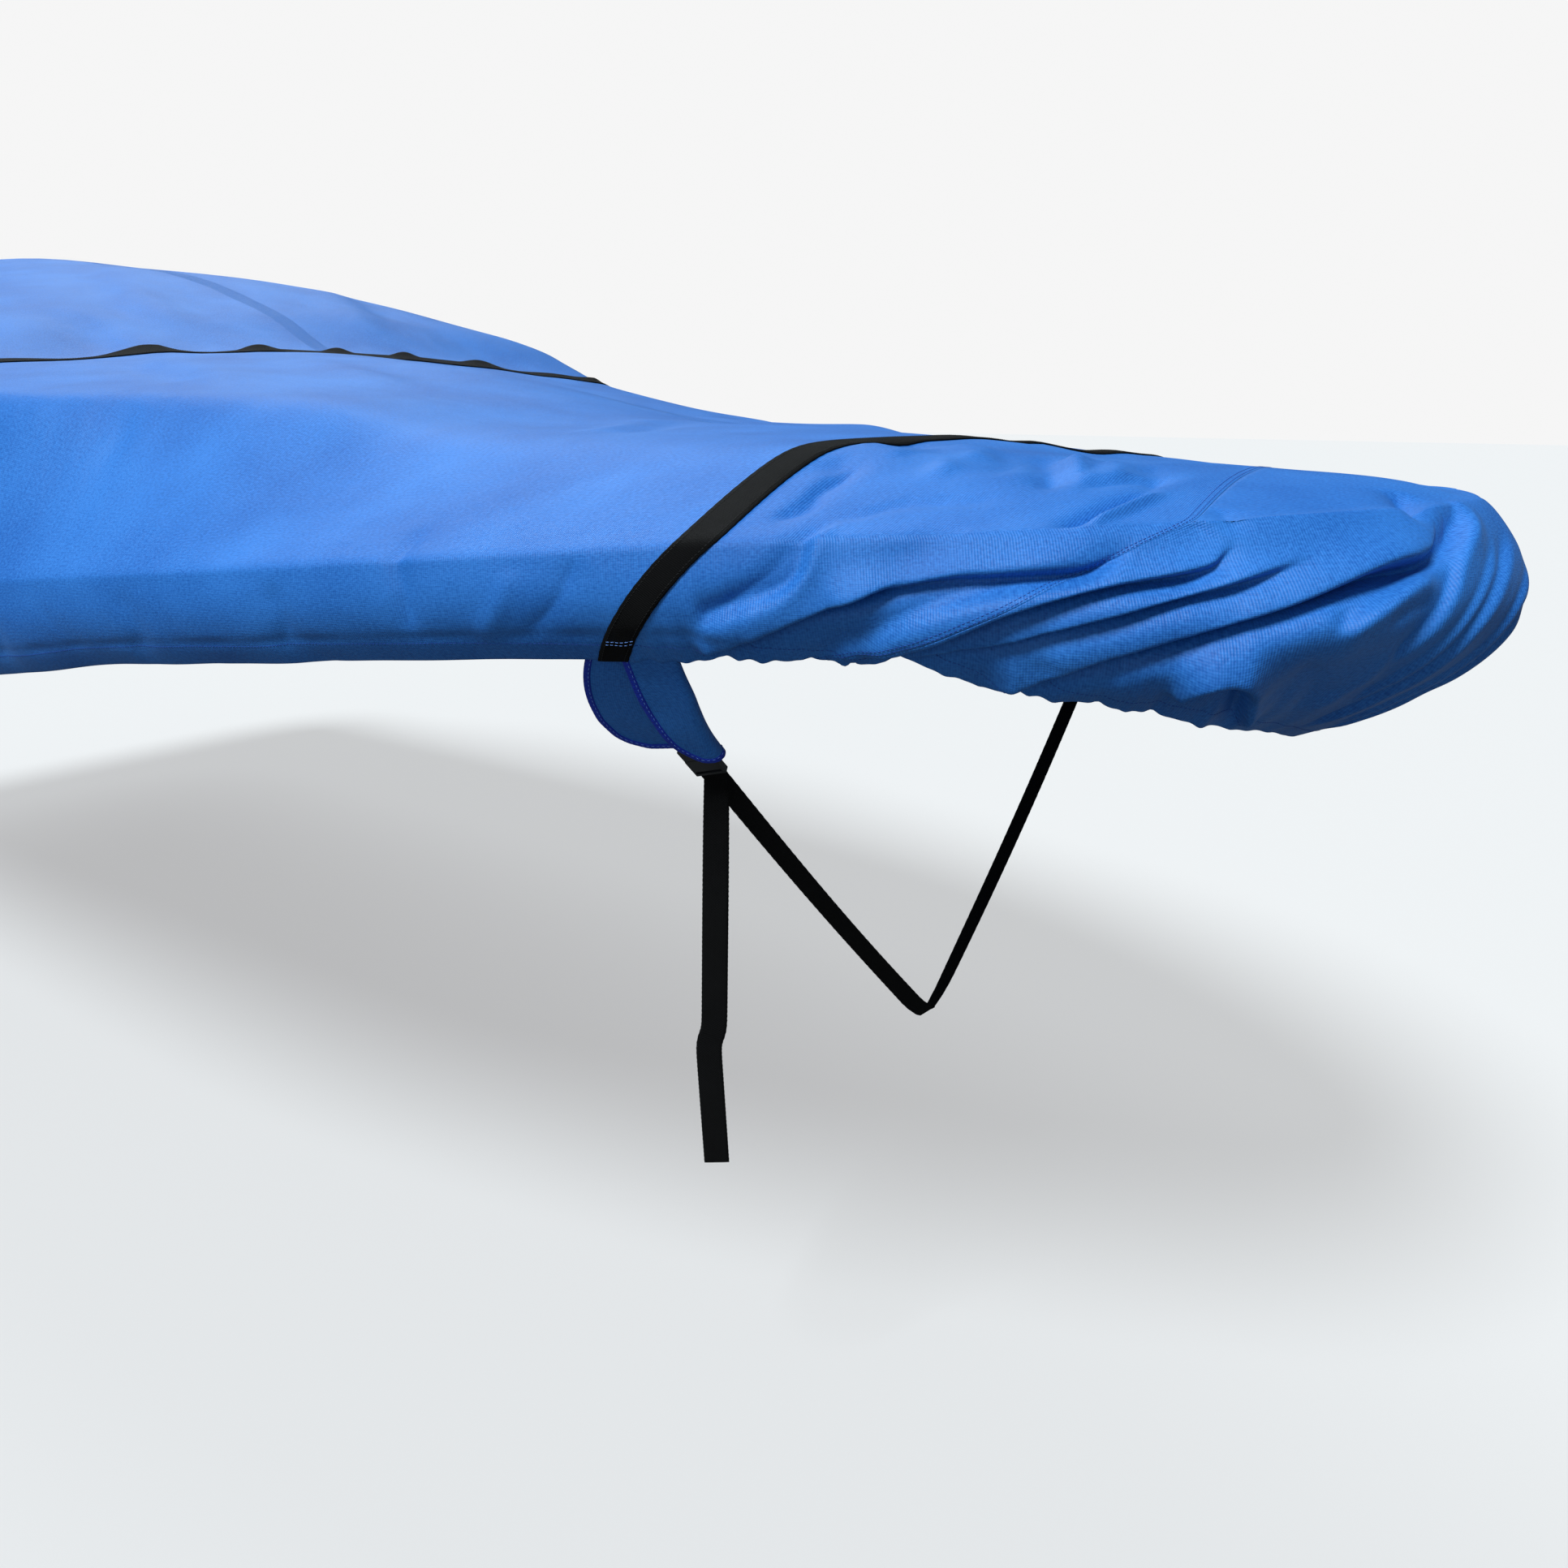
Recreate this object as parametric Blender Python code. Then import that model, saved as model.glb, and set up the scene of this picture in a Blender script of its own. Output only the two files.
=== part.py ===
"""A fitted boat cover, hollow underneath, as it lies over a small runabout with its straps done up.

The pieces are the cloth body, the bow cap panel sewn to it, two webbing straps sewn across the top,
a bound tab with a two-part buckle at each end of the bow strap, and the tie-down web that runs
under the keel with its free tail.

Surface coordinates: s runs aft from the nose, y to port, z up from the nose, all in metres and level
with the keel line. The whole cover is then raked bow-up and moved so that the origin is the place
under the top where the boat holds it. +X is forward, +Y is port, +Z is up.
"""
import math

import bmesh
import bpy
from mathutils import Matrix, Vector

# ---------------------------------------------------------------- driving dimensions
COVER_LENGTH = 4.50         # nose to transom
HALF_BEAM = 0.89            # widest half width, at the gunwale crease
NOSE_SETBACK = 0.05         # the crease starts this far aft of the foremost cloth
BOW_LENGTH = 2.20           # where the plan reaches full beam
BOW_FULLNESS = 0.53         # exponent of the bow's plan curve
STERN_START = 4.10          # the transom corners begin here
STERN_HALF_BEAM = 0.85
CORNER_POWER = 5.0          # squareness of the transom corners
BOW_UP_DEGREES = 5.0        # rake of the boat on its trailer
MOUNT_STATION = 3.30        # the highest place of the top
MOUNT_DROP = 0.0035         # the mount lies this far under the middle of the cloth

CLOTH = 0.0025              # cloth thickness
SEAM_GAP = 0.0009           # between the two panels
TOUCH = 0.0004              # between pieces that touch
WEB = 0.0016                # webbing thickness
SEWN_WEB_WIDTH = 0.038      # webbing sewn over the top
TIE_WEB_WIDTH = 0.030       # tie-down webbing
BOW_STRAP_STATION = 0.577
MID_STRAP_STATION = 2.05

# ---------------------------------------------------------------- shape tables
# Sections of the top. rim: share of the half beam where the side slope ends;
# rim_rise and mid_rise: height over the gunwale crease at the rim and on the centre line;
# port_sag: share by which the port half lies lower than the starboard half.
SECTION_COLUMNS = ("s", "rim", "rim_rise", "mid_rise", "port_sag")
SECTIONS = (
    (0.05, 0.60, 0.000, 0.000, 0.36),
    (0.12, 0.60, 0.015, 0.021, 0.38),
    (0.24, 0.60, 0.033, 0.036, 0.40),
    (0.40, 0.66, 0.056, 0.057, 0.46),
    (0.58, 0.70, 0.082, 0.084, 0.42),
    (0.80, 0.69, 0.103, 0.114, 0.24),
    (1.05, 0.70, 0.135, 0.142, 0.20),
    (1.20, 0.74, 0.182, 0.182, 0.25),
    (1.40, 0.80, 0.205, 0.243, 0.29),
    (1.62, 0.86, 0.225, 0.286, 0.21),
    (1.85, 0.85, 0.262, 0.322, 0.13),
    (2.05, 0.81, 0.300, 0.345, 0.03),
    (2.25, 0.78, 0.378, 0.434, -0.05),
    (2.50, 0.76, 0.430, 0.526, -0.05),
    (2.85, 0.72, 0.455, 0.616, -0.01),
    (3.30, 0.68, 0.450, 0.690, 0.00),
    (3.80, 0.70, 0.340, 0.560, 0.00),
    (4.15, 0.74, 0.200, 0.330, 0.00),
    (4.38, 0.80, 0.075, 0.115, 0.00),
    (4.50, 0.84, 0.000, 0.000, 0.00),
)
# Skirt below the crease. drop: crease to hem; tuck: how far the hem draws in;
# bulge: how far the cloth swells out above that; slant: how far aft a line down the skirt runs.
SKIRT_COLUMNS = ("s", "crease", "drop", "tuck", "bulge", "slant")
SKIRT = (
    (0.05, 0.060, 0.244, 0.165, 0.064, 0.000),
    (0.09, 0.061, 0.226, 0.135, 0.058, 0.120),
    (0.15, 0.063, 0.206, 0.092, 0.045, 0.270),
    (0.21, 0.065, 0.182, 0.060, 0.030, 0.340),
    (0.32, 0.068, 0.140, 0.046, 0.018, 0.240),
    (0.45, 0.072, 0.114, 0.040, 0.012, 0.148),
    (0.62, 0.075, 0.112, 0.038, 0.008, 0.100),
    (0.90, 0.074, 0.104, 0.034, 0.005, 0.030),
    (1.30, 0.072, 0.106, 0.030, 0.004, 0.000),
    (1.70, 0.070, 0.126, 0.030, 0.004, 0.000),
    (2.40, 0.068, 0.124, 0.030, 0.004, 0.000),
    (4.50, 0.050, 0.120, 0.030, 0.004, 0.000),
)
SLANT_POWER = 0.85          # the slant grows faster near the crease
KNEE = 0.010                # rounding where the side slope meets the top
SAG_FROM, SAG_TO = -0.25, 0.40  # shares of the half beam over which the port sag sets in

# Grid lines down the starboard side, as stations on the crease. The straps lie between two lines.
SEAM_STATION = 0.21         # the bow seam crosses the crease here
SEAM_FOOT = 0.25            # and the centre line here
HALF_STRAP = SEWN_WEB_WIDTH / 2
STERN_LINES = 6             # across half the transom and round its corner
STERN_FOOT_START = 3.9      # aft of this station the grid lines fan forward to the centre line
STERN_FOOT_SHIFT = 0.30     # by up to this much
SIDE_STATIONS = (3.95, 3.70, 3.45, 3.20, 2.95, 2.70, 2.50, 2.32, 2.18,
                 MID_STRAP_STATION + HALF_STRAP, MID_STRAP_STATION - HALF_STRAP,
                 1.92, 1.77, 1.62, 1.48, 1.34, 1.21, 1.10, 1.00, 0.91, 0.83, 0.75, 0.67,
                 BOW_STRAP_STATION + HALF_STRAP, BOW_STRAP_STATION - HALF_STRAP,
                 0.52, 0.475, 0.43, 0.385, 0.34, 0.295, 0.25, SEAM_STATION)
DECK_ROWS = 9               # centre line to crease
SKIRT_ROWS = 13             # crease to hem
CREASE_STEPS = 200          # of each of the three stretches of the crease's own polyline
CAP_LINES = 2 * DECK_ROWS   # grid lines of half the bow cap
CAP_SPREAD = 1.1            # over 1 crowds the cap's lines towards the nose
RIM_ROWS = 6                # of the deck rows, those between the centre line and the rim
FOLD_SAMPLES = 24           # places tried along a fold's curve
FOLD_END = 0.04             # a fold fades over its length; its ends keep this share of the fade
FOLD_TAPER = 0.6            # under 1 keeps a fold deep for most of its length

# Long soft folds. a is the distance along the crease from the nose, starboard negative;
# d the distance below the crease, or above it on the top where negative. Each fold is a curve
# through three places, with its half width and its depth, inwards where positive.
FOLDS = (
    # a0, d0, a1, d1, a2, d2, width, depth
    (-0.54, 0.112, -0.330, 0.080, -0.130, 0.034, 0.019, 0.014),
    (-0.50, 0.156, -0.260, 0.118, -0.090, 0.030, 0.020, -0.010),
    (-0.74, 0.096, -0.560, 0.056, -0.400, -0.020, 0.020, -0.009),
    (-0.78, 0.066, -0.660, 0.040, -0.540, -0.020, 0.020, 0.008),
    (-0.07, 0.000, -0.165, 0.100, -0.140, 0.220, 0.019, 0.010),
    (0.05, 0.000, 0.150, 0.100, 0.110, 0.220, 0.020, 0.011),
    (0.12, 0.030, 0.330, 0.082, 0.560, 0.116, 0.019, 0.012),
    (0.08, 0.070, 0.300, 0.126, 0.480, 0.152, 0.020, -0.009),
    (-2.64, -0.62, -2.420, -0.50, -2.310, -0.30, 0.050, 0.016),
    (-2.74, -0.86, -2.440, -0.74, -2.290, -0.56, 0.055, 0.014),
    (2.72, -0.60, 2.440, -0.48, 2.300, -0.30, 0.055, 0.015),
    (-2.34, -0.52, -2.120, -0.42, -1.900, -0.30, 0.050, 0.011),
    (-2.80, -0.30, -2.560, -0.20, -2.400, -0.04, 0.060, 0.014),
    (2.80, -0.32, 2.560, -0.22, 2.400, -0.05, 0.060, 0.014),
    (-3.90, -0.60, -3.500, -0.45, -3.250, -0.20, 0.070, 0.018),
    (3.80, -0.62, 3.450, -0.42, 3.200, -0.18, 0.070, 0.016),
    (-4.70, -0.30, -4.400, -0.18, -4.300, 0.02, 0.060, 0.014),
    (4.60, -0.34, 4.350, -0.20, 4.200, 0.00, 0.060, 0.014),
)
# Waves of the gathered hem. a0 to a1 is the stretch, height the swell at the hem itself.
GATHERS = (
    # a0, a1, waves, height
    (-0.84, -0.40, 7, 0.0050),
    (-0.40, -0.12, 4, 0.0060),
    (0.10, 0.38, 4, 0.0060),
    (0.38, 0.84, 7, 0.0050),
    (-2.20, -0.90, 5, 0.0030),
    (0.90, 2.30, 5, 0.0030),
)
GATHER_ENDS = 6             # the waves grow to full height over one part in this many
GATHER_DRIFT = 1.1          # unevenness of the waves' spacing, in radians
GATHER_DRIFT_RATE = 5

# The bound tab at each end of the bow strap, folded lengthwise. z below the nose; the stations
# of its folded edge and of its two free edges; turn is the radius of the fold.
TAB = (
    # z, fold, front, back, turn
    (-0.022, 0.632, 0.684, 0.712, 0.0045),
    (-0.042, 0.635, 0.686, 0.727, 0.0050),
    (-0.064, 0.638, 0.689, 0.741, 0.0056),
    (-0.086, 0.641, 0.693, 0.752, 0.0064),
    (-0.108, 0.647, 0.696, 0.760, 0.0074),
    (-0.128, 0.653, 0.697, 0.765, 0.0084),
    (-0.144, 0.657, 0.696, 0.765, 0.0091),
    (-0.156, 0.659, 0.690, 0.759, 0.0095),
    (-0.165, 0.660, 0.680, 0.742, 0.0096),
)
HEM_AT_TAB = Vector((0.62, -0.552, -0.037))    # a place on the starboard hem
HEM_SLOPE = 0.42            # the hem widens this much for each metre aft
TAB_SLOPE, TAB_CURVE = 0.5, 2.0  # the tab leans inboard below the hem, more and more
TAB_INSET = 0.006           # the tab's outer layer lies this far inside the hem
TAB_SIDE_CELLS = 4          # cells across each layer of the tab
FOLD_CELLS = 6              # cells round its fold
BINDING_REACH = 0.007       # width of the binding on each face
BINDING_WALL = 0.0007       # thickness of the binding
BINDING_EASE = 0.0004       # between the binding and the tab

BUCKLE_STATION, BUCKLE_DEPTH = 0.6910, -0.180  # middle of the buckle's ladder half
LADDER = Vector((0.0380, 0.0085, 0.0280))      # width, thickness, length
SOCKET = Vector((0.0365, 0.0085, 0.0180))
BUCKLE_FACE = Vector((-0.285, -0.678, -0.678))  # the way its front looks
LADDER_SLOT = 0.0042        # height of the slot that the web goes through
LADDER_BAR = 0.0042         # height of the bar below it
PRONG = Vector((0.0050, 0.0030, 0.0130))
PRONG_INSET = 0.0065        # from the socket's side to the prong's middle
PRONG_ROOT = 0.002          # how far a prong reaches into its plate
PRONG_ROOM = Vector((0.0030, 0.0006, 0.0015))   # round the prongs in the socket
THROUGH = 0.010             # a cutter reaches this far past what it cuts
SLOT_ROOM = 0.001           # at each side of the web
BUCKLE_EDGE = 0.0010        # rounding of the buckle's edges
FIT = 0.0004                # clearance in and round the buckle

KEEL_POINT = Vector((0.738, 0.0, -0.648))      # where the tie-down passes under the keel
KEEL_RAKE = Vector((0.79, 0.0, -0.61))         # direction of the keel there
KEEL_TURN = 0.05            # length over which the tie-down rounds the keel
KEEL_ROUND = 0.01           # and the height by which it does
TIE_BOW = 0.006             # the hull pushes the tie-down out by this much
TIE_STEPS = 22
WEB_SPREAD = 0.0008         # the tie-down and its tail lie this far off the bar's middle
TAIL_LENGTH = 0.490
TAIL_ACROSS = Vector((0.80, -0.60, 0.0))        # direction of the hanging tail's width
TAIL_STEPS = 26
TAIL_LEAD = 0.010           # it leaves the buckle along the pull, then hangs
TAIL_JOG = 0.0075           # a small sideways step
TAIL_JOG_AT = 0.66          # and the share of the length where it comes
TAIL_JOG_RATE = 90
TAIL_LEAN = 0.0075          # it leans aft above the step
TAIL_RETURN = 0.008         # and forward below it
HANGER_WIDTH = 0.020
HANGER_SHIFT = -0.008       # off the buckle's middle
HANGER_STATIONS = (0.680, 0.664)                # where it leaves the buckle and where it ends
HANGER_RISE = 0.005         # it leaves the socket straight for this far
HANGER_FIRST_ROW = -3       # and then lies along the tab from this row up


def pchip(xs, ys, x):
    """Smooth interpolation through a table's points, without overshoot."""
    count = len(xs)
    if x <= xs[0]:
        return ys[0]
    if x >= xs[-1]:
        return ys[-1]
    step = [xs[i + 1] - xs[i] for i in range(count - 1)]
    rate = [(ys[i + 1] - ys[i]) / step[i] for i in range(count - 1)]

    def slope(i):
        if i == 0:
            return rate[0]
        if i == count - 1:
            return rate[-1]
        if rate[i - 1] * rate[i] <= 0:
            return 0.0
        near = 2 * step[i] + step[i - 1]
        far = step[i] + 2 * step[i - 1]
        return (near + far) / (near / rate[i - 1] + far / rate[i])

    k = max(i for i in range(count - 1) if xs[i] <= x)
    t = (x - xs[k]) / step[k]
    low, high = slope(k) * step[k], slope(k + 1) * step[k]
    return ((1 + 2 * t) * (1 - t) ** 2 * ys[k] + t * (1 - t) ** 2 * low
            + t * t * (3 - 2 * t) * ys[k + 1] - t * t * (1 - t) * high)


def column(table, names, name):
    return [row[names.index(name)] for row in table]


def section(name, s):
    return pchip(column(SECTIONS, SECTION_COLUMNS, "s"), column(SECTIONS, SECTION_COLUMNS, name), s)


def skirt(name, s):
    return pchip(column(SKIRT, SKIRT_COLUMNS, "s"), column(SKIRT, SKIRT_COLUMNS, name), s)


def half_beam(s):
    """Half width of the plan at the gunwale crease."""
    if s <= NOSE_SETBACK or s >= COVER_LENGTH:
        return 0.0
    if s < BOW_LENGTH:
        left = 1 - (s - NOSE_SETBACK) / (BOW_LENGTH - NOSE_SETBACK)
        return HALF_BEAM * (1 - left * left) ** BOW_FULLNESS
    share = (s - BOW_LENGTH) / (STERN_START - BOW_LENGTH)
    beam = HALF_BEAM + (STERN_HALF_BEAM - HALF_BEAM) * min(share, 1) ** 2
    if s > STERN_START:
        reach = (s - STERN_START) / (COVER_LENGTH - STERN_START)
        beam *= (1 - reach ** CORNER_POWER) ** (1 / CORNER_POWER)
    return beam


def top_height(s, y):
    """Height of the top over the nose: a side slope up to a soft rim, then a crown."""
    beam = half_beam(s)
    crease = skirt("crease", s)
    rim_rise, mid_rise = section("rim_rise", s), section("mid_rise", s)
    if beam <= 0 or rim_rise <= 0:
        return crease
    rim = section("rim", s) * beam
    reach = min(abs(y), beam)
    side = rim_rise * (beam - reach) / (beam - rim)
    crown = mid_rise + (rim_rise - mid_rise) * (reach / rim) ** 2
    low = min(side, crown)
    rise = low - KNEE * math.log(math.exp((low - side) / KNEE) + math.exp((low - crown) / KNEE))
    share = min(max((y / beam - SAG_FROM) / (SAG_TO - SAG_FROM), 0), 1)
    sag = section("port_sag", s) * share * share * (3 - 2 * share)
    return crease + max(rise, 0) * (1 - sag)


def plan_point(s):
    return Vector((s, -half_beam(s)))


def stern_point(turn):
    """Crease point round the starboard corner: turn is 0 on the side and pi / 2 on the centre line."""
    s = STERN_START + (COVER_LENGTH - STERN_START) * math.sin(turn) ** (2 / CORNER_POWER)
    return Vector((s, -STERN_HALF_BEAM * math.cos(turn) ** (2 / CORNER_POWER)))


def stern_points():
    """Crease points on the starboard side, from the middle of the transom round its corner."""
    return [stern_point(math.pi / 2 * (1 - k / (STERN_LINES + 1))) for k in range(STERN_LINES + 1)]


class Crease:
    """The starboard crease line as a fine polyline, measured from the nose."""

    def __init__(self):
        turns = [math.pi / 2 * k / CREASE_STEPS for k in range(CREASE_STEPS + 1)]
        bow = [NOSE_SETBACK + (BOW_LENGTH - NOSE_SETBACK) * (1 - math.cos(turn)) for turn in turns]
        straight = (STERN_START - BOW_LENGTH) / CREASE_STEPS
        side = [BOW_LENGTH + straight * k for k in range(1, CREASE_STEPS + 1)]
        self.points = [plan_point(s) for s in bow + side]
        self.points += [stern_point(turn) for turn in turns[1:]]
        self.length = [0.0]
        for k in range(1, len(self.points)):
            self.length.append(self.length[-1] + (self.points[k] - self.points[k - 1]).length)

    def at(self, a):
        """Plan point and outward direction at a metres along the crease from the nose."""
        a = min(max(a, 0.0), self.length[-1])
        k = max(i for i in range(len(self.length) - 1) if self.length[i] <= a)
        span = self.length[k + 1] - self.length[k]
        t = (a - self.length[k]) / span
        point = self.points[k].lerp(self.points[k + 1], t)
        along = self.points[min(k + 2, len(self.points) - 1)] - self.points[max(k - 1, 0)]
        if a < 1e-6:
            along = Vector((0, -1))
        outward = Vector((along.y, -along.x)).normalized()
        return point, outward

    def find(self, target):
        """Distance along the crease of the point nearest to the target."""
        k = min(range(len(self.points)), key=lambda i: (self.points[i] - target).length)
        return self.length[k]


def grid_foot(s):
    """Where the grid line from a crease station meets the centre line: near the bow it slants aft
    to follow the seam, and near the stern forward."""
    start = BOW_STRAP_STATION - HALF_STRAP
    bow = max(0.0, (start - s) / (start - SEAM_STATION))
    stern = max(0.0, (s - STERN_FOOT_START) / (COVER_LENGTH - STERN_FOOT_START))
    return Vector((s + (SEAM_FOOT - SEAM_STATION) * bow ** 2 - STERN_FOOT_SHIFT * stern ** 2, 0))


def curve_distance(row, a, d):
    """Distance from a place to a fold's curve, and how far along the curve that is."""
    ends = (Vector(row[0:2]), Vector(row[4:6]))
    control = 2 * Vector(row[2:4]) - (ends[0] + ends[1]) / 2
    best = (1e9, 0.0)
    for k in range(FOLD_SAMPLES + 1):
        t = k / FOLD_SAMPLES
        place = (1 - t) ** 2 * ends[0] + 2 * t * (1 - t) * control + t * t * ends[1]
        best = min(best, ((place - Vector((a, d))).length, t))
    return best


def fold_depth(a, d):
    """Inward depth of all folds at a place of the cloth."""
    depth = 0.0
    for row in FOLDS:
        width, deep = row[6:8]
        near, far = min(row[0:6:2]), max(row[0:6:2])
        if near - 3 * width < a < far + 3 * width:
            off, t = curve_distance(row, a, d)
            fade = math.sin(math.pi * (FOLD_END + (1 - 2 * FOLD_END) * t)) ** FOLD_TAPER
            depth += deep * math.exp(-(off / width) ** 2) * fade
    return depth


def gather_height(a, q):
    """Outward swell of the hem's gathers, q of the way from crease to hem."""
    for start, end, waves, height in GATHERS:
        if start < a < end and q > 0:
            share = (a - start) / (end - start)
            ends = min(1, GATHER_ENDS * share, GATHER_ENDS * (1 - share))
            drift = GATHER_DRIFT * math.sin(GATHER_DRIFT_RATE * share)
            return height * ends * math.sin(2 * math.pi * waves * share + drift) * q ** 3
    return 0.0


def skirt_point(crease, a_crease, q):
    """Point of the starboard skirt on the line from a_crease, q of the way from crease to hem."""
    start = crease.at(a_crease)[0]
    a = a_crease + skirt("slant", start.x) * q ** SLANT_POWER
    place, outward = crease.at(a)
    drop = skirt("drop", place.x)
    out = skirt("bulge", place.x) * math.sin(math.pi * q) - skirt("tuck", place.x) * q ** 3
    flat = place + outward * out
    return Vector((flat.x, flat.y, top_height(place.x, place.y) - drop * q)), a, drop * q


def mirrored(vector, side):
    """A starboard vector for either side: starboard is -1, port 1."""
    return Vector((vector.x, -side * vector.y, vector.z))


def to_frame(point):
    """Surface coordinates to the cover's level frame, before the rake."""
    return Vector((MOUNT_STATION - point.x, point.y, point.z - MOUNT_HEIGHT))


MOUNT_HEIGHT = top_height(MOUNT_STATION, 0.0) - MOUNT_DROP


# ---------------------------------------------------------------- the cloth's grid
class Surface:
    """Middle surface of the whole cover: points shared by both panels, with faces for each."""

    def __init__(self):
        self.points = []
        self.coords = []
        self.halves = {}
        self.body_faces = []
        self.cap_faces = []
        self.crease = Crease()
        self.build_body()
        self.build_cap()
        self.shift_by_folds()

    def add(self, point, a, d, side):
        self.points.append(mirrored(point, side))
        self.coords.append((side * a, d))
        return len(self.points) - 1

    def line(self, foot, target, side, first=None):
        """One grid line: centre line to crease on the deck, then down the skirt to the hem."""
        made = []
        a_crease = self.crease.find(target)
        length = (target - foot).length
        rim = section("rim", target.x)
        for j in range(DECK_ROWS + 1):
            if j <= RIM_ROWS:
                g = rim * j / RIM_ROWS
            else:
                g = rim + (1 - rim) * (j - RIM_ROWS) / (DECK_ROWS - RIM_ROWS)
            if j == 0 and first is not None:
                made.append(first)
                continue
            flat = foot.lerp(target, g)
            point = Vector((flat.x, flat.y, top_height(flat.x, -side * flat.y)))
            made.append(self.add(point, a_crease, -length * (1 - g), side))
        for j in range(1, SKIRT_ROWS + 1):
            point, a, d = skirt_point(self.crease, a_crease, j / SKIRT_ROWS)
            made.append(self.add(point, a, d, side))
        return made

    def build_body(self):
        targets = stern_points() + [plan_point(s) for s in SIDE_STATIONS]
        starboard, port = [], []
        for k, target in enumerate(targets):
            foot = grid_foot(target.x)
            lines = self.line(foot, target, -1)
            starboard.append(lines)
            port.append(lines if k == 0 else self.line(foot, target, 1, lines[0]))
        self.starboard, self.port = starboard, port
        for k in range(len(targets) - 1):
            self.patch(starboard[k], starboard[k + 1], self.body_faces, True)
            self.patch(port[k], port[k + 1], self.body_faces, False)

    def build_cap(self):
        """The cap's lines start on the seam and end at the hem, from the seam round to the nose."""
        seams = {-1: self.starboard[-1], 1: self.port[-1]}
        a_seam = self.crease.find(plan_point(SEAM_STATION))
        sides = {}
        shared_nose = None
        for side in (-1, 1):
            seam = seams[side]
            lines = [[seam[DECK_ROWS]] * (DECK_ROWS + 1) + seam[DECK_ROWS + 1:]]
            for k in range(1, CAP_LINES + 1):
                share = k / CAP_LINES
                a_crease = a_seam * (1 - share) ** CAP_SPREAD
                target = self.crease.at(a_crease)[0]
                if k == CAP_LINES:
                    target = Vector((NOSE_SETBACK, 0))
                near, far = divmod(CAP_LINES - k, 2)
                first = seam[near] if far == 0 else self.between(seam[near], seam[near + 1])
                if k == CAP_LINES and shared_nose is not None:
                    lines.append(shared_nose)
                    continue
                start = self.points[first]
                lines.append(self.cap_line(Vector((start.x, start.y)), target, a_crease, side, first))
                if k == CAP_LINES:
                    shared_nose = lines[-1]
            sides[side] = lines
        for side, lines in sides.items():
            for k in range(CAP_LINES):
                self.patch(lines[k], lines[k + 1], self.cap_faces, side < 0)
        self.cap_sides = sides

    def cap_line(self, start, target, a_crease, side, first):
        made = [first]
        start = Vector((start.x, -abs(start.y)))
        length = (target - start).length
        for j in range(1, DECK_ROWS + 1):
            flat = start.lerp(target, j / DECK_ROWS)
            point = Vector((flat.x, flat.y, top_height(flat.x, -side * flat.y)))
            made.append(self.add(point, a_crease, -length * (1 - j / DECK_ROWS), side))
        for j in range(1, SKIRT_ROWS + 1):
            point, a, d = skirt_point(self.crease, a_crease, j / SKIRT_ROWS)
            made.append(self.add(point, a, d, side))
        return made

    def between(self, first, second):
        """A point on the seam half way between two others, so that both panels' edges match."""
        for index, pair in self.halves.items():
            if pair == (first, second):
                return index
        self.points.append((self.points[first] + self.points[second]) / 2)
        self.coords.append(tuple((self.coords[first][k] + self.coords[second][k]) / 2 for k in (0, 1)))
        self.halves[len(self.points) - 1] = (first, second)
        return len(self.points) - 1

    def patch(self, left, right, faces, flip):
        """Two triangles for each cell between two grid lines, leaving out what has no area."""
        for j in range(len(left) - 1):
            cell = (left[j], left[j + 1], right[j + 1], right[j])
            for triangle in ((cell[0], cell[1], cell[2]), (cell[0], cell[2], cell[3])):
                if len(set(triangle)) == 3:
                    faces.append(triangle[::-1] if flip else triangle)

    def shift_by_folds(self):
        normals = self.normals()
        for k, (a, d) in enumerate(self.coords):
            drop = skirt("drop", self.crease.at(abs(a))[0].x)
            depth = fold_depth(a, d) - gather_height(a, max(d, 0) / drop)
            if depth:
                self.points[k] = self.points[k] - normals[k] * depth
        for index, (first, second) in self.halves.items():
            self.points[index] = (self.points[first] + self.points[second]) / 2

    def normals(self):
        """Outward normals at every point, from the faces of both panels."""
        found = [Vector((0, 0, 0)) for _ in self.points]
        for face in self.body_faces + self.cap_faces:
            a, b, c = (self.points[k] for k in face)
            normal = (b - a).cross(c - a)
            for k in face:
                found[k] += normal
        for index, (first, second) in self.halves.items():
            found[index] = found[first].normalized() + found[second].normalized()
        return [n.normalized() for n in found]


def sheet_solid(name, points, normals, faces, low, high, material):
    """A closed sheet: the faces moved along their normals to low and high, with walls round the edge."""
    used = sorted({k for face in faces for k in face})
    place = {k: n for n, k in enumerate(used)}
    bottom = [to_frame(points[k] + normals[k] * low) for k in used]
    top = [to_frame(points[k] + normals[k] * high) for k in used]
    count = len(used)
    cells = [tuple(place[k] + count for k in face) for face in faces]
    cells += [tuple(place[k] for k in reversed(face)) for face in faces]
    edges = {(face[k], face[(k + 1) % 3]) for face in faces for k in range(3)}
    for first, second in sorted(edges):
        if (second, first) not in edges:
            a, b = place[first], place[second]
            cells += [(a, b, b + count), (a, b + count, a + count)]
    mesh_object(name, bottom + top, cells, material)


def mesh_object(name, points, cells, material):
    mesh = bpy.data.meshes.new(name)
    mesh.from_pydata([tuple(p) for p in points], [], cells)
    mesh.update()
    build = bmesh.new()
    build.from_mesh(mesh)
    bmesh.ops.recalc_face_normals(build, faces=build.faces)
    build.to_mesh(mesh)
    build.free()
    mesh.shade_smooth()
    mesh.set_sharp_from_angle(angle=math.radians(50))
    mesh.materials.append(material)
    piece = bpy.data.objects.new(name, mesh)
    bpy.context.scene.collection.objects.link(piece)


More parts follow.
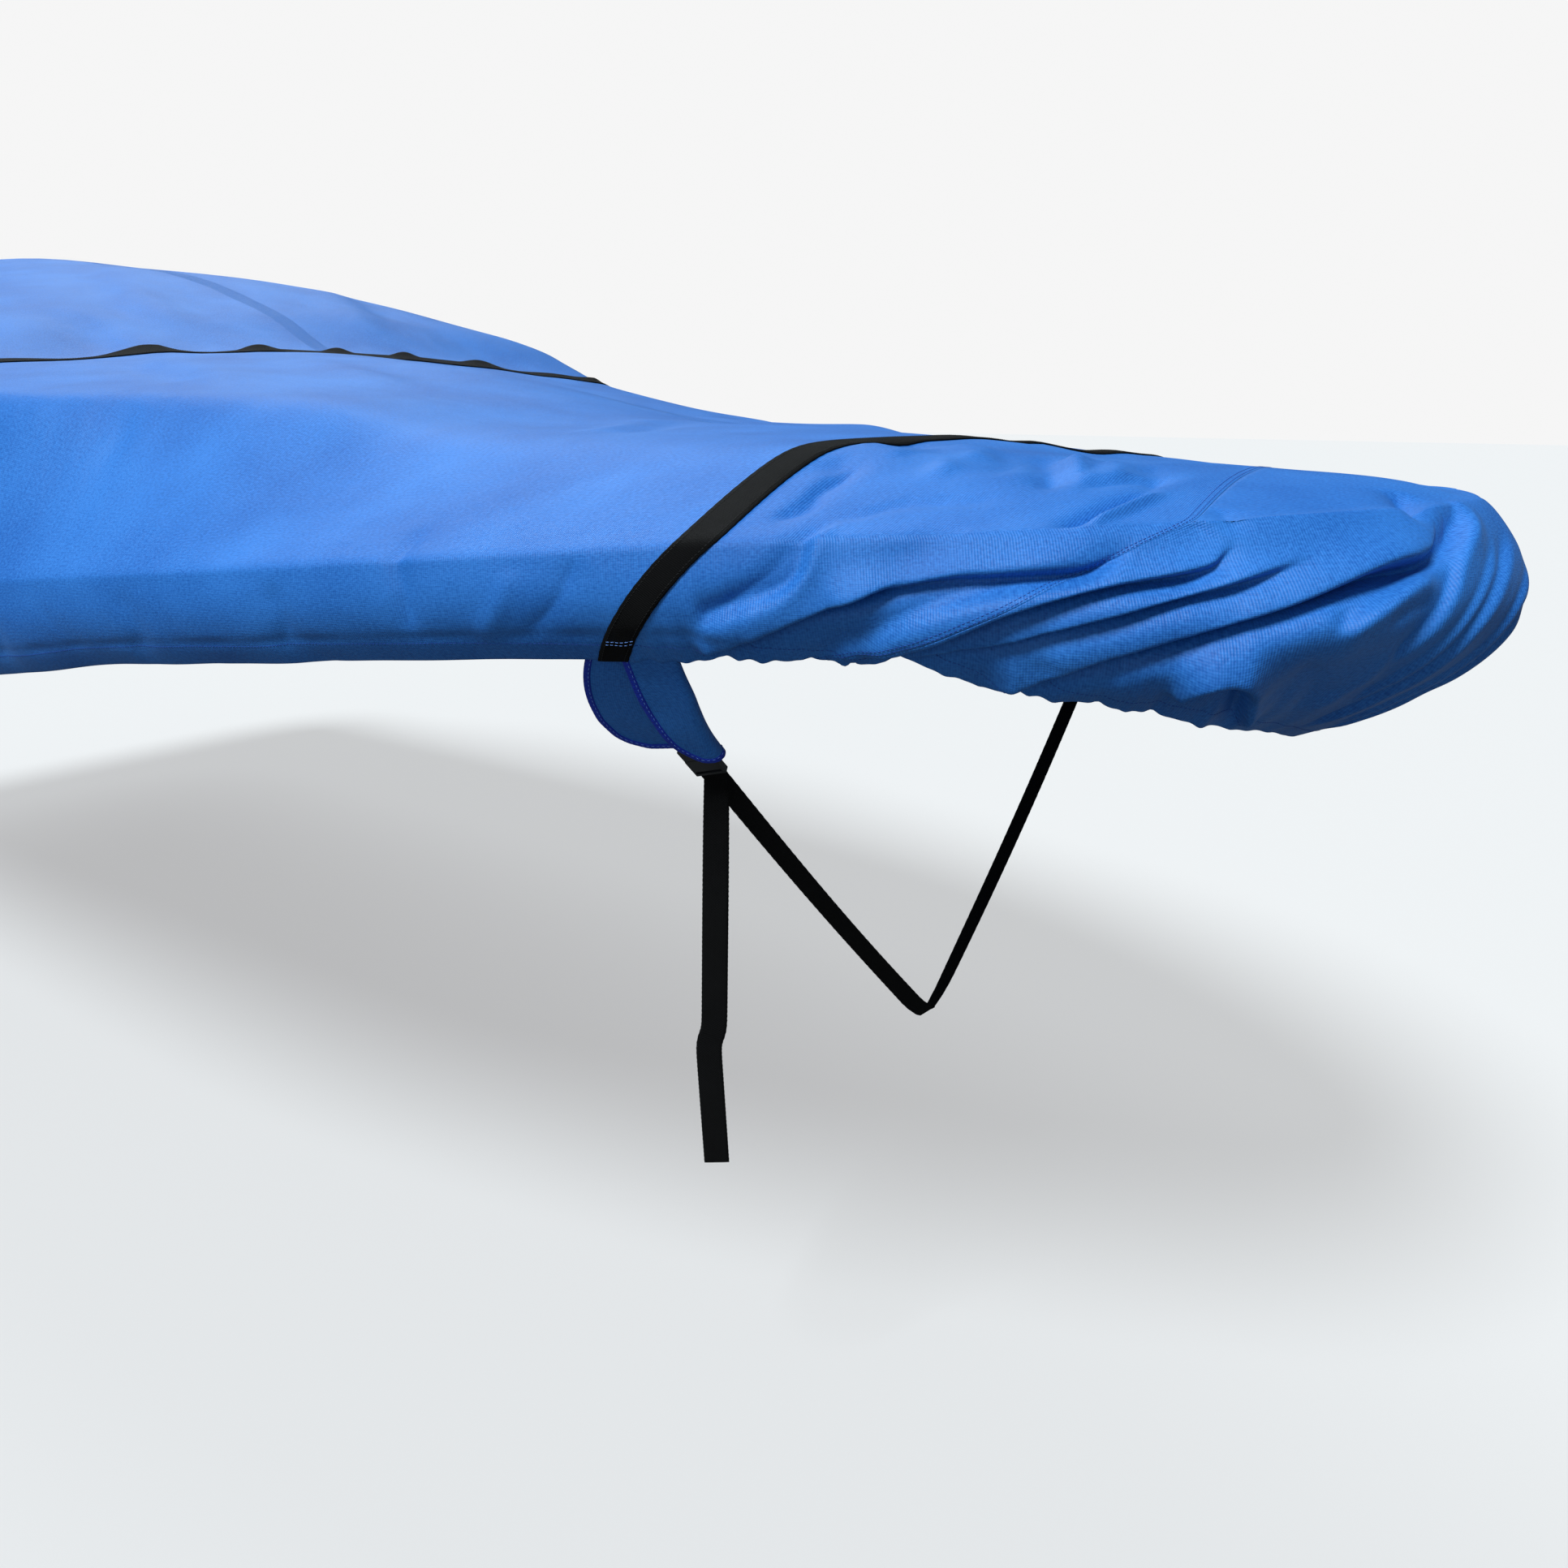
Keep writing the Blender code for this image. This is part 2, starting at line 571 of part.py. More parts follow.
def finish(name, colour, roughness):
    material = bpy.data.materials.new(name)
    material.use_nodes = True
    shader = material.node_tree.nodes["Principled BSDF"]
    shader.inputs["Base Color"].default_value = (*colour, 1)
    shader.inputs["Roughness"].default_value = roughness
    shader.inputs["Metallic"].default_value = 0.0
    return material


def clear_scene():
    for item in list(bpy.data.objects):
        bpy.data.objects.remove(item, do_unlink=True)


def cap_points(surface):
    """The cloth's points, with those of the cap's seam edge moved into the cap by the seam's gap."""
    points = list(surface.points)
    for lines in surface.cap_sides.values():
        seam = lines[0][DECK_ROWS:]
        for n, index in enumerate(seam):
            into = surface.points[lines[1][DECK_ROWS + n]] - surface.points[index]
            along = surface.points[seam[min(n + 1, SKIRT_ROWS)]] - surface.points[seam[max(n - 1, 0)]]
            points[index] = surface.points[index] + (into - into.project(along)).normalized() * SEAM_GAP
        for line in lines[1:]:
            into = surface.points[line[1]] - surface.points[line[0]]
            points[line[0]] = surface.points[line[0]] + into.normalized() * SEAM_GAP
    return points


def make_cloth(surface, normals, blue):
    half = CLOTH / 2
    sheet_solid("cover_body", surface.points, normals, surface.body_faces, -half, half, blue)
    sheet_solid("cover_bow_cap", cap_points(surface), normals, surface.cap_faces, -half, half, blue)


def strap_faces(surface, station):
    """Cells of the body grid under a strap, on both sides and over the centre line."""
    first = STERN_LINES + 1 + SIDE_STATIONS.index(station + HALF_STRAP)
    faces = []
    surface.patch(surface.starboard[first], surface.starboard[first + 1], faces, True)
    surface.patch(surface.port[first], surface.port[first + 1], faces, False)
    return faces


def make_sewn_straps(surface, normals, black):
    low = CLOTH / 2 + TOUCH
    for name, station in (("strap_bow", BOW_STRAP_STATION), ("strap_mid", MID_STRAP_STATION)):
        faces = strap_faces(surface, station)
        sheet_solid(name, surface.points, normals, faces, low, low + WEB, black)


# ---------------------------------------------------------------- tabs, buckles and webs
def tab_place(s, z, inward):
    """Point of the starboard tab's outer layer, or of a layer lying further in."""
    below = HEM_AT_TAB.z - z
    y = HEM_AT_TAB.y - HEM_SLOPE * (s - HEM_AT_TAB.x) + TAB_SLOPE * below + TAB_CURVE * below * below
    normal = Vector((HEM_SLOPE, 1.0, TAB_SLOPE + 2 * TAB_CURVE * below)).normalized()
    return Vector((s, y, z)) + normal * (TAB_INSET + inward)


def tab_row(z, fold, front, back, turn):
    """One row across the folded tab, from its back free edge round the fold to the front one."""
    row = []
    for k in range(TAB_SIDE_CELLS):
        row.append(tab_place(back + (fold + turn - back) * k / TAB_SIDE_CELLS, z, 2 * turn))
    for k in range(FOLD_CELLS + 1):
        angle = math.pi * k / FOLD_CELLS
        row.append(tab_place(fold + turn - turn * math.sin(angle), z, turn + turn * math.cos(angle)))
    for k in range(1, TAB_SIDE_CELLS + 1):
        row.append(tab_place(fold + turn + (front - fold - turn) * k / TAB_SIDE_CELLS, z, 0))
    return row


def grid_faces(rows, columns):
    faces = []
    for i in range(rows - 1):
        for j in range(columns - 1):
            a = i * columns + j
            faces += [(a, a + 1, a + columns + 1), (a, a + columns + 1, a + columns)]
    return faces


def grid_normals(points, faces):
    found = [Vector((0, 0, 0)) for _ in points]
    for face in faces:
        a, b, c = (points[k] for k in face)
        for k in face:
            found[k] += (b - a).cross(c - a)
    return [n.normalized() for n in found]


def make_tab(name, side, blue):
    rows = [[mirrored(p, side) for p in tab_row(*row)] for row in TAB]
    points = [p for row in rows for p in row]
    faces = grid_faces(len(rows), len(rows[0]))
    normals = grid_normals(points, faces)
    sheet_solid(name, points, normals, faces, -CLOTH / 2, CLOTH / 2, blue)
    return rows, normals


def make_binding(name, rows, normals, trim):
    """A U of thin tape round the tab's free edge, from the top of one side to the top of the other."""
    count, columns = len(rows), len(rows[0])
    route = [(i, 0) for i in range(count)] + [(count - 1, j) for j in range(1, columns)]
    route += [(i, columns - 1) for i in range(count - 2, -1, -1)]
    path = [rows[i][j] for i, j in route]
    facing = [normals[i * columns + j] for i, j in route]
    inner = CLOTH / 2 + BINDING_EASE
    outer = inner + BINDING_WALL
    edge = -BINDING_EASE
    back = edge - BINDING_WALL
    profile = ((BINDING_REACH, outer), (back, outer), (back, -outer), (BINDING_REACH, -outer),
               (BINDING_REACH, -inner), (edge, -inner), (edge, inner), (BINDING_REACH, inner))
    rings = []
    for k, point in enumerate(path):
        along = (path[min(k + 1, len(path) - 1)] - path[max(k - 1, 0)]).normalized()
        into = facing[k].cross(along).normalized()
        if k == 0:
            sign = math.copysign(1, into.dot(rows[0][1] - rows[0][0]))
        rings.append([point + into * (sign * x) + facing[k] * y for x, y in profile])
    swept(name, rings, trim)


def swept(name, rings, material):
    """A closed solid through rings of points."""
    size = len(rings[0])
    points = [to_frame(p) for ring in rings for p in ring]
    cells = [tuple(range(size)), tuple(reversed(range(len(points) - size, len(points))))]
    for k in range(len(rings) - 1):
        for j in range(size):
            a, b = k * size + j, k * size + (j + 1) % size
            cells += [(a, b, b + size), (a, b + size, a + size)]
    mesh_object(name, points, cells, material)


def make_web(name, path, across, width, material):
    """Flat webbing along a path; across gives the direction of its width at each point."""
    rings = []
    for k, point in enumerate(path):
        along = (path[min(k + 1, len(path) - 1)] - path[max(k - 1, 0)]).normalized()
        wide = (across[k] - along * across[k].dot(along)).normalized() * (width / 2)
        thick = along.cross(wide).normalized() * (WEB / 2)
        rings.append([point - wide - thick, point + wide - thick, point + wide + thick, point - wide + thick])
    swept(name, rings, material)


def buckle_axes():
    """Origin of the starboard buckle and its directions: across, outward and up along the web."""
    origin = tab_place(BUCKLE_STATION, BUCKLE_DEPTH, TAB[-1][4])
    up = (origin - KEEL_POINT).normalized()
    across = BUCKLE_FACE.cross(-up).normalized()
    return origin, across, (-up).cross(across).normalized(), up


def buckle_matrix(side):
    origin, across, face, up = buckle_axes()
    place = to_frame(mirrored(origin, side))
    turned = [mirrored(v, side) for v in (across, face, up)]
    x, y, z = (Vector((-v.x, v.y, v.z)) for v in turned)
    if x.cross(y).dot(z) < 0:
        x = -x
    matrix = Matrix((x, y, z)).transposed().to_4x4()
    matrix.translation = place
    return matrix


def box(name, centre, size, material):
    mesh = bpy.data.meshes.new(name)
    build = bmesh.new()
    bmesh.ops.create_cube(build, size=1)
    bmesh.ops.scale(build, vec=size, verts=build.verts)
    bmesh.ops.translate(build, vec=centre, verts=build.verts)
    build.to_mesh(mesh)
    build.free()
    mesh.materials.append(material)
    piece = bpy.data.objects.new(name, mesh)
    bpy.context.scene.collection.objects.link(piece)
    return piece


def helper(piece):
    piece.hide_render = True
    piece.display_type = "WIRE"
    return piece


def boolean(piece, other, operation):
    change = piece.modifiers.new(operation.lower(), "BOOLEAN")
    change.operation = operation
    change.object = helper(other)
    change.solver = "EXACT"


def soften(piece):
    bevel = piece.modifiers.new("soft edges", "BEVEL")
    bevel.width = BUCKLE_EDGE
    bevel.segments = 2
    bevel.limit_method = "ANGLE"


def make_buckle(label, side, plastic):
    """The ladder half, with its slot and bar, and the socket that its two prongs go into."""
    parts = []
    half = LADDER.z / 2
    ladder = box("ladder_" + label, Vector((0, 0, 0)), LADDER, plastic)
    soften(ladder)
    slot_z = -half + LADDER_BAR + LADDER_SLOT / 2
    slot_size = Vector((TIE_WEB_WIDTH + 2 * SLOT_ROOM, LADDER.y + 2 * THROUGH, LADDER_SLOT))
    slot = box("slot", Vector((0, 0, slot_z)), slot_size, plastic)
    boolean(ladder, slot, "DIFFERENCE")
    parts += [ladder, slot]
    for sign in (-1, 1):
        centre = Vector((sign * (SOCKET.x / 2 - PRONG_INSET), 0, half + (PRONG.z - PRONG_ROOT) / 2))
        prong = box("prong", centre, PRONG + Vector((0, 0, PRONG_ROOT)), plastic)
        boolean(ladder, prong, "UNION")
        parts.append(prong)
    base = half + FIT
    socket = box("socket_" + label, Vector((0, 0, base + SOCKET.z / 2)), SOCKET, plastic)
    soften(socket)
    deep = PRONG.z + PRONG_ROOM.z
    room = Vector((SOCKET.x - 2 * PRONG_ROOM.x, PRONG.y + 2 * PRONG_ROOM.y, deep + THROUGH))
    hollow = box("hollow", Vector((0, 0, base + (deep - THROUGH) / 2)), room, plastic)
    boolean(socket, hollow, "DIFFERENCE")
    parts += [socket, hollow]
    matrix = buckle_matrix(side)
    for piece in parts:
        piece.matrix_world = matrix


def make_hanger(name, side, black):
    """The short web inside the tab's fold, from the buckle's socket up to the hem."""
    origin, across, _, up = buckle_axes()
    low = origin + up * (LADDER.z / 2 + FIT + SOCKET.z + TOUCH) + across * HANGER_SHIFT
    path = [low, low + up * HANGER_RISE]
    wide = [across, across]
    level = Vector((1, -HEM_SLOPE, 0)).normalized()
    against = (CLOTH + WEB) / 2 + TOUCH
    rows = TAB[HANGER_FIRST_ROW::-1]
    for k, (z, *_, turn) in enumerate(rows):
        share = k / (len(rows) - 1)
        station = HANGER_STATIONS[0] + (HANGER_STATIONS[1] - HANGER_STATIONS[0]) * share
        path.append(tab_place(station, z, (turn + against) / 2 if k == 0 else against))
        wide.append(level)
    make_web(name, [mirrored(p, side) for p in path], [mirrored(w, side) for w in wide], HANGER_WIDTH, black)


def make_tie_down(black):
    """The taut web from one buckle, down the hull and under the keel, to the other buckle."""
    origin, across, face, up = buckle_axes()
    start = origin - up * (LADDER.z / 2 + TOUCH) - face * (WEB / 2 + WEB_SPREAD)
    path, wide = [], []
    for k in range(TIE_STEPS + 1):
        t = k / TIE_STEPS
        point = start.lerp(KEEL_POINT, t) + face * TIE_BOW * math.sin(math.pi * t)
        left = max(0.0, KEEL_TURN + point.y) / KEEL_TURN
        point.z += KEEL_ROUND * left * left
        path.append(point)
        turn = t ** 3
        wide.append((across * (1 - turn) + KEEL_RAKE * turn).normalized())
    path += [mirrored(p, 1) for p in reversed(path[:-1])]
    wide += [mirrored(w, 1) for w in reversed(wide[:-1])]
    make_web("tie_down", path, wide, TIE_WEB_WIDTH, black)


def make_tail(black):
    """The free end of the starboard tie-down, hanging plumb in front of the buckle."""
    origin, across, face, up = buckle_axes()
    start = origin - up * (LADDER.z / 2 + TOUCH) + face * (WEB / 2 + WEB_SPREAD)
    rake = math.radians(BOW_UP_DEGREES)
    plumb = Vector((math.sin(rake), 0, -math.cos(rake)))
    path, wide = [], []
    lead_share = TAIL_LEAD / TAIL_LENGTH
    shares = [0, lead_share / 2, lead_share]
    shares += [lead_share + (1 - lead_share) * k / TAIL_STEPS for k in range(1, TAIL_STEPS + 1)]
    for t in shares:
        sway = TAIL_LEAN * min(t / TAIL_JOG_AT, 1)
        sway += TAIL_JOG / (1 + math.exp(-TAIL_JOG_RATE * (t - TAIL_JOG_AT)))
        sway -= TAIL_RETURN * max(0, t - TAIL_JOG_AT) / (1 - TAIL_JOG_AT)
        lead = min(TAIL_LENGTH * t, TAIL_LEAD)
        path.append(start - up * lead + plumb * (TAIL_LENGTH * t - lead) + TAIL_ACROSS * sway)
        wide.append((across * (1 - t) ** 4 + TAIL_ACROSS * (1 - (1 - t) ** 4)).normalized())
    make_web("tail_stbd", path, wide, TIE_WEB_WIDTH, black)


def main():
    clear_scene()
    blue = finish("cover cloth", (0.05, 0.22, 0.68), 0.72)
    trim = finish("edge binding", (0.01, 0.05, 0.50), 0.6)
    black = finish("black webbing", (0.012, 0.012, 0.013), 0.6)
    plastic = finish("buckle plastic", (0.035, 0.035, 0.037), 0.45)
    surface = Surface()
    normals = surface.normals()
    make_cloth(surface, normals, blue)
    make_sewn_straps(surface, normals, black)
    for label, side in (("stbd", -1), ("port", 1)):
        rows, facing = make_tab("tab_" + label, side, blue)
        make_binding("binding_" + label, rows, facing, trim)
        make_hanger("hanger_" + label, side, black)
        make_buckle(label, side, plastic)
    make_tie_down(black)
    make_tail(black)
    frame = bpy.data.objects.new("boat_cover_frame", None)
    bpy.context.scene.collection.objects.link(frame)
    frame.rotation_euler = (0, -math.radians(BOW_UP_DEGREES), 0)
    for piece in list(bpy.context.scene.collection.objects):
        if piece.type == "MESH":
            piece.parent = frame
    bpy.context.view_layer.update()


main()
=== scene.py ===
"""Looks of a fitted boat cover: blue woven cloth over a hollow, black webbing, bound tabs and buckles.

Surface coordinates: s runs aft from the nose, y to port and z up from the nose, all in metres and
level with the keel line. On the cloth, a is the distance along the crease from the nose, negative to
starboard, and d the distance below the crease, negative on the top.
"""
import math

import bmesh
import bpy
import numpy as np
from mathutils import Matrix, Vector


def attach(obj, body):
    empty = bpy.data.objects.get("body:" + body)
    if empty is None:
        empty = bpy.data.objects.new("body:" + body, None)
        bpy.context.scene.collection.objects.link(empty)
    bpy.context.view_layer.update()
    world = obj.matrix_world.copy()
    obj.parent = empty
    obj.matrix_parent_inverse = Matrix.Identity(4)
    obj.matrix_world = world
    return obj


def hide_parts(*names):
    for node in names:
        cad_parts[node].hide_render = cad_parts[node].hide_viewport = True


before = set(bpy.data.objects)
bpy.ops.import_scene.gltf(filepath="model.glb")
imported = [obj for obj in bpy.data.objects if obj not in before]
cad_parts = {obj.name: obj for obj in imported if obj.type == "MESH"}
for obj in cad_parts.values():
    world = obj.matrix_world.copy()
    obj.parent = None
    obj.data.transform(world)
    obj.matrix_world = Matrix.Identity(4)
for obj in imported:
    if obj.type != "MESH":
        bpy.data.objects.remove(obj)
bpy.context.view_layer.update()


# ---------------------------------------------------------------- sizes shared with the solids
COVER_LENGTH, HALF_BEAM, STERN_HALF_BEAM = 4.50, 0.89, 0.85
NOSE_SETBACK, BOW_LENGTH, BOW_FULLNESS = 0.05, 2.20, 0.53
STERN_START, CORNER_POWER = 4.10, 5.0
BOW_UP = math.radians(5.0)
MOUNT_STATION, MOUNT_DROP = 3.30, 0.0035
CLOTH, TOUCH, WEB = 0.0025, 0.0004, 0.0016
SEWN_WEB_WIDTH, TIE_WEB_WIDTH = 0.038, 0.030
BOW_STRAP_STATION, MID_STRAP_STATION = 0.577, 2.05
SLANT_POWER, KNEE = 0.85, 0.010
SAG_FROM, SAG_TO = -0.25, 0.40
SEAM_STATION, SEAM_FOOT = 0.21, 0.25
STERN_FOOT_START, STERN_FOOT_SHIFT = 3.9, 0.30
CREASE_STEPS = 900          # finer here than in the solids

SECTION_COLUMNS = ("s", "rim", "rim_rise", "mid_rise", "port_sag")
SECTIONS = (
    (0.05, 0.6, 0.0, 0.0, 0.36),
    (0.12, 0.6, 0.015, 0.021, 0.38),
    (0.24, 0.6, 0.033, 0.036, 0.4),
    (0.4, 0.66, 0.056, 0.057, 0.46),
    (0.58, 0.7, 0.082, 0.084, 0.42),
    (0.8, 0.69, 0.103, 0.114, 0.24),
    (1.05, 0.7, 0.135, 0.142, 0.2),
    (1.2, 0.74, 0.182, 0.182, 0.25),
    (1.4, 0.8, 0.205, 0.243, 0.29),
    (1.62, 0.86, 0.225, 0.286, 0.21),
    (1.85, 0.85, 0.262, 0.322, 0.13),
    (2.05, 0.81, 0.3, 0.345, 0.03),
    (2.25, 0.78, 0.378, 0.434, -0.05),
    (2.5, 0.76, 0.43, 0.526, -0.05),
    (2.85, 0.72, 0.455, 0.616, -0.01),
    (3.3, 0.68, 0.45, 0.69, 0.0),
    (3.8, 0.7, 0.34, 0.56, 0.0),
    (4.15, 0.74, 0.2, 0.33, 0.0),
    (4.38, 0.8, 0.075, 0.115, 0.0),
    (4.5, 0.84, 0.0, 0.0, 0.0),
)
SKIRT_COLUMNS = ("s", "crease", "drop", "tuck", "bulge", "slant")
SKIRT = (
    (0.05, 0.06, 0.244, 0.165, 0.064, 0.0),
    (0.09, 0.061, 0.226, 0.135, 0.058, 0.12),
    (0.15, 0.063, 0.206, 0.092, 0.045, 0.27),
    (0.21, 0.065, 0.182, 0.06, 0.03, 0.34),
    (0.32, 0.068, 0.14, 0.046, 0.018, 0.24),
    (0.45, 0.072, 0.114, 0.04, 0.012, 0.148),
    (0.62, 0.075, 0.112, 0.038, 0.008, 0.1),
    (0.9, 0.074, 0.104, 0.034, 0.005, 0.03),
    (1.3, 0.072, 0.106, 0.03, 0.004, 0.0),
    (1.7, 0.07, 0.126, 0.03, 0.004, 0.0),
    (2.4, 0.068, 0.124, 0.03, 0.004, 0.0),
    (4.5, 0.05, 0.12, 0.03, 0.004, 0.0),
)
# The solids' own soft folds: a curve through three places, half width, depth inwards.
FOLDS = (
    # a0, d0, a1, d1, a2, d2, width, depth
    (-0.54, 0.112, -0.33, 0.08, -0.13, 0.034, 0.019, 0.014),
    (-0.5, 0.156, -0.26, 0.118, -0.09, 0.03, 0.02, -0.01),
    (-0.74, 0.096, -0.56, 0.056, -0.4, -0.02, 0.02, -0.009),
    (-0.78, 0.066, -0.66, 0.04, -0.54, -0.02, 0.02, 0.008),
    (-0.07, 0.0, -0.165, 0.1, -0.14, 0.22, 0.019, 0.01),
    (0.05, 0.0, 0.15, 0.1, 0.11, 0.22, 0.02, 0.011),
    (0.12, 0.03, 0.33, 0.082, 0.56, 0.116, 0.019, 0.012),
    (0.08, 0.07, 0.3, 0.126, 0.48, 0.152, 0.02, -0.009),
    (-2.64, -0.62, -2.42, -0.5, -2.31, -0.3, 0.05, 0.016),
    (-2.74, -0.86, -2.44, -0.74, -2.29, -0.56, 0.055, 0.014),
    (2.72, -0.6, 2.44, -0.48, 2.3, -0.3, 0.055, 0.015),
    (-2.34, -0.52, -2.12, -0.42, -1.9, -0.3, 0.05, 0.011),
    (-2.8, -0.3, -2.56, -0.2, -2.4, -0.04, 0.06, 0.014),
    (2.8, -0.32, 2.56, -0.22, 2.4, -0.05, 0.06, 0.014),
    (-3.9, -0.6, -3.5, -0.45, -3.25, -0.2, 0.07, 0.018),
    (3.8, -0.62, 3.45, -0.42, 3.2, -0.18, 0.07, 0.016),
    (-4.7, -0.3, -4.4, -0.18, -4.3, 0.02, 0.06, 0.014),
    (4.6, -0.34, 4.35, -0.2, 4.2, 0.0, 0.06, 0.014),
)


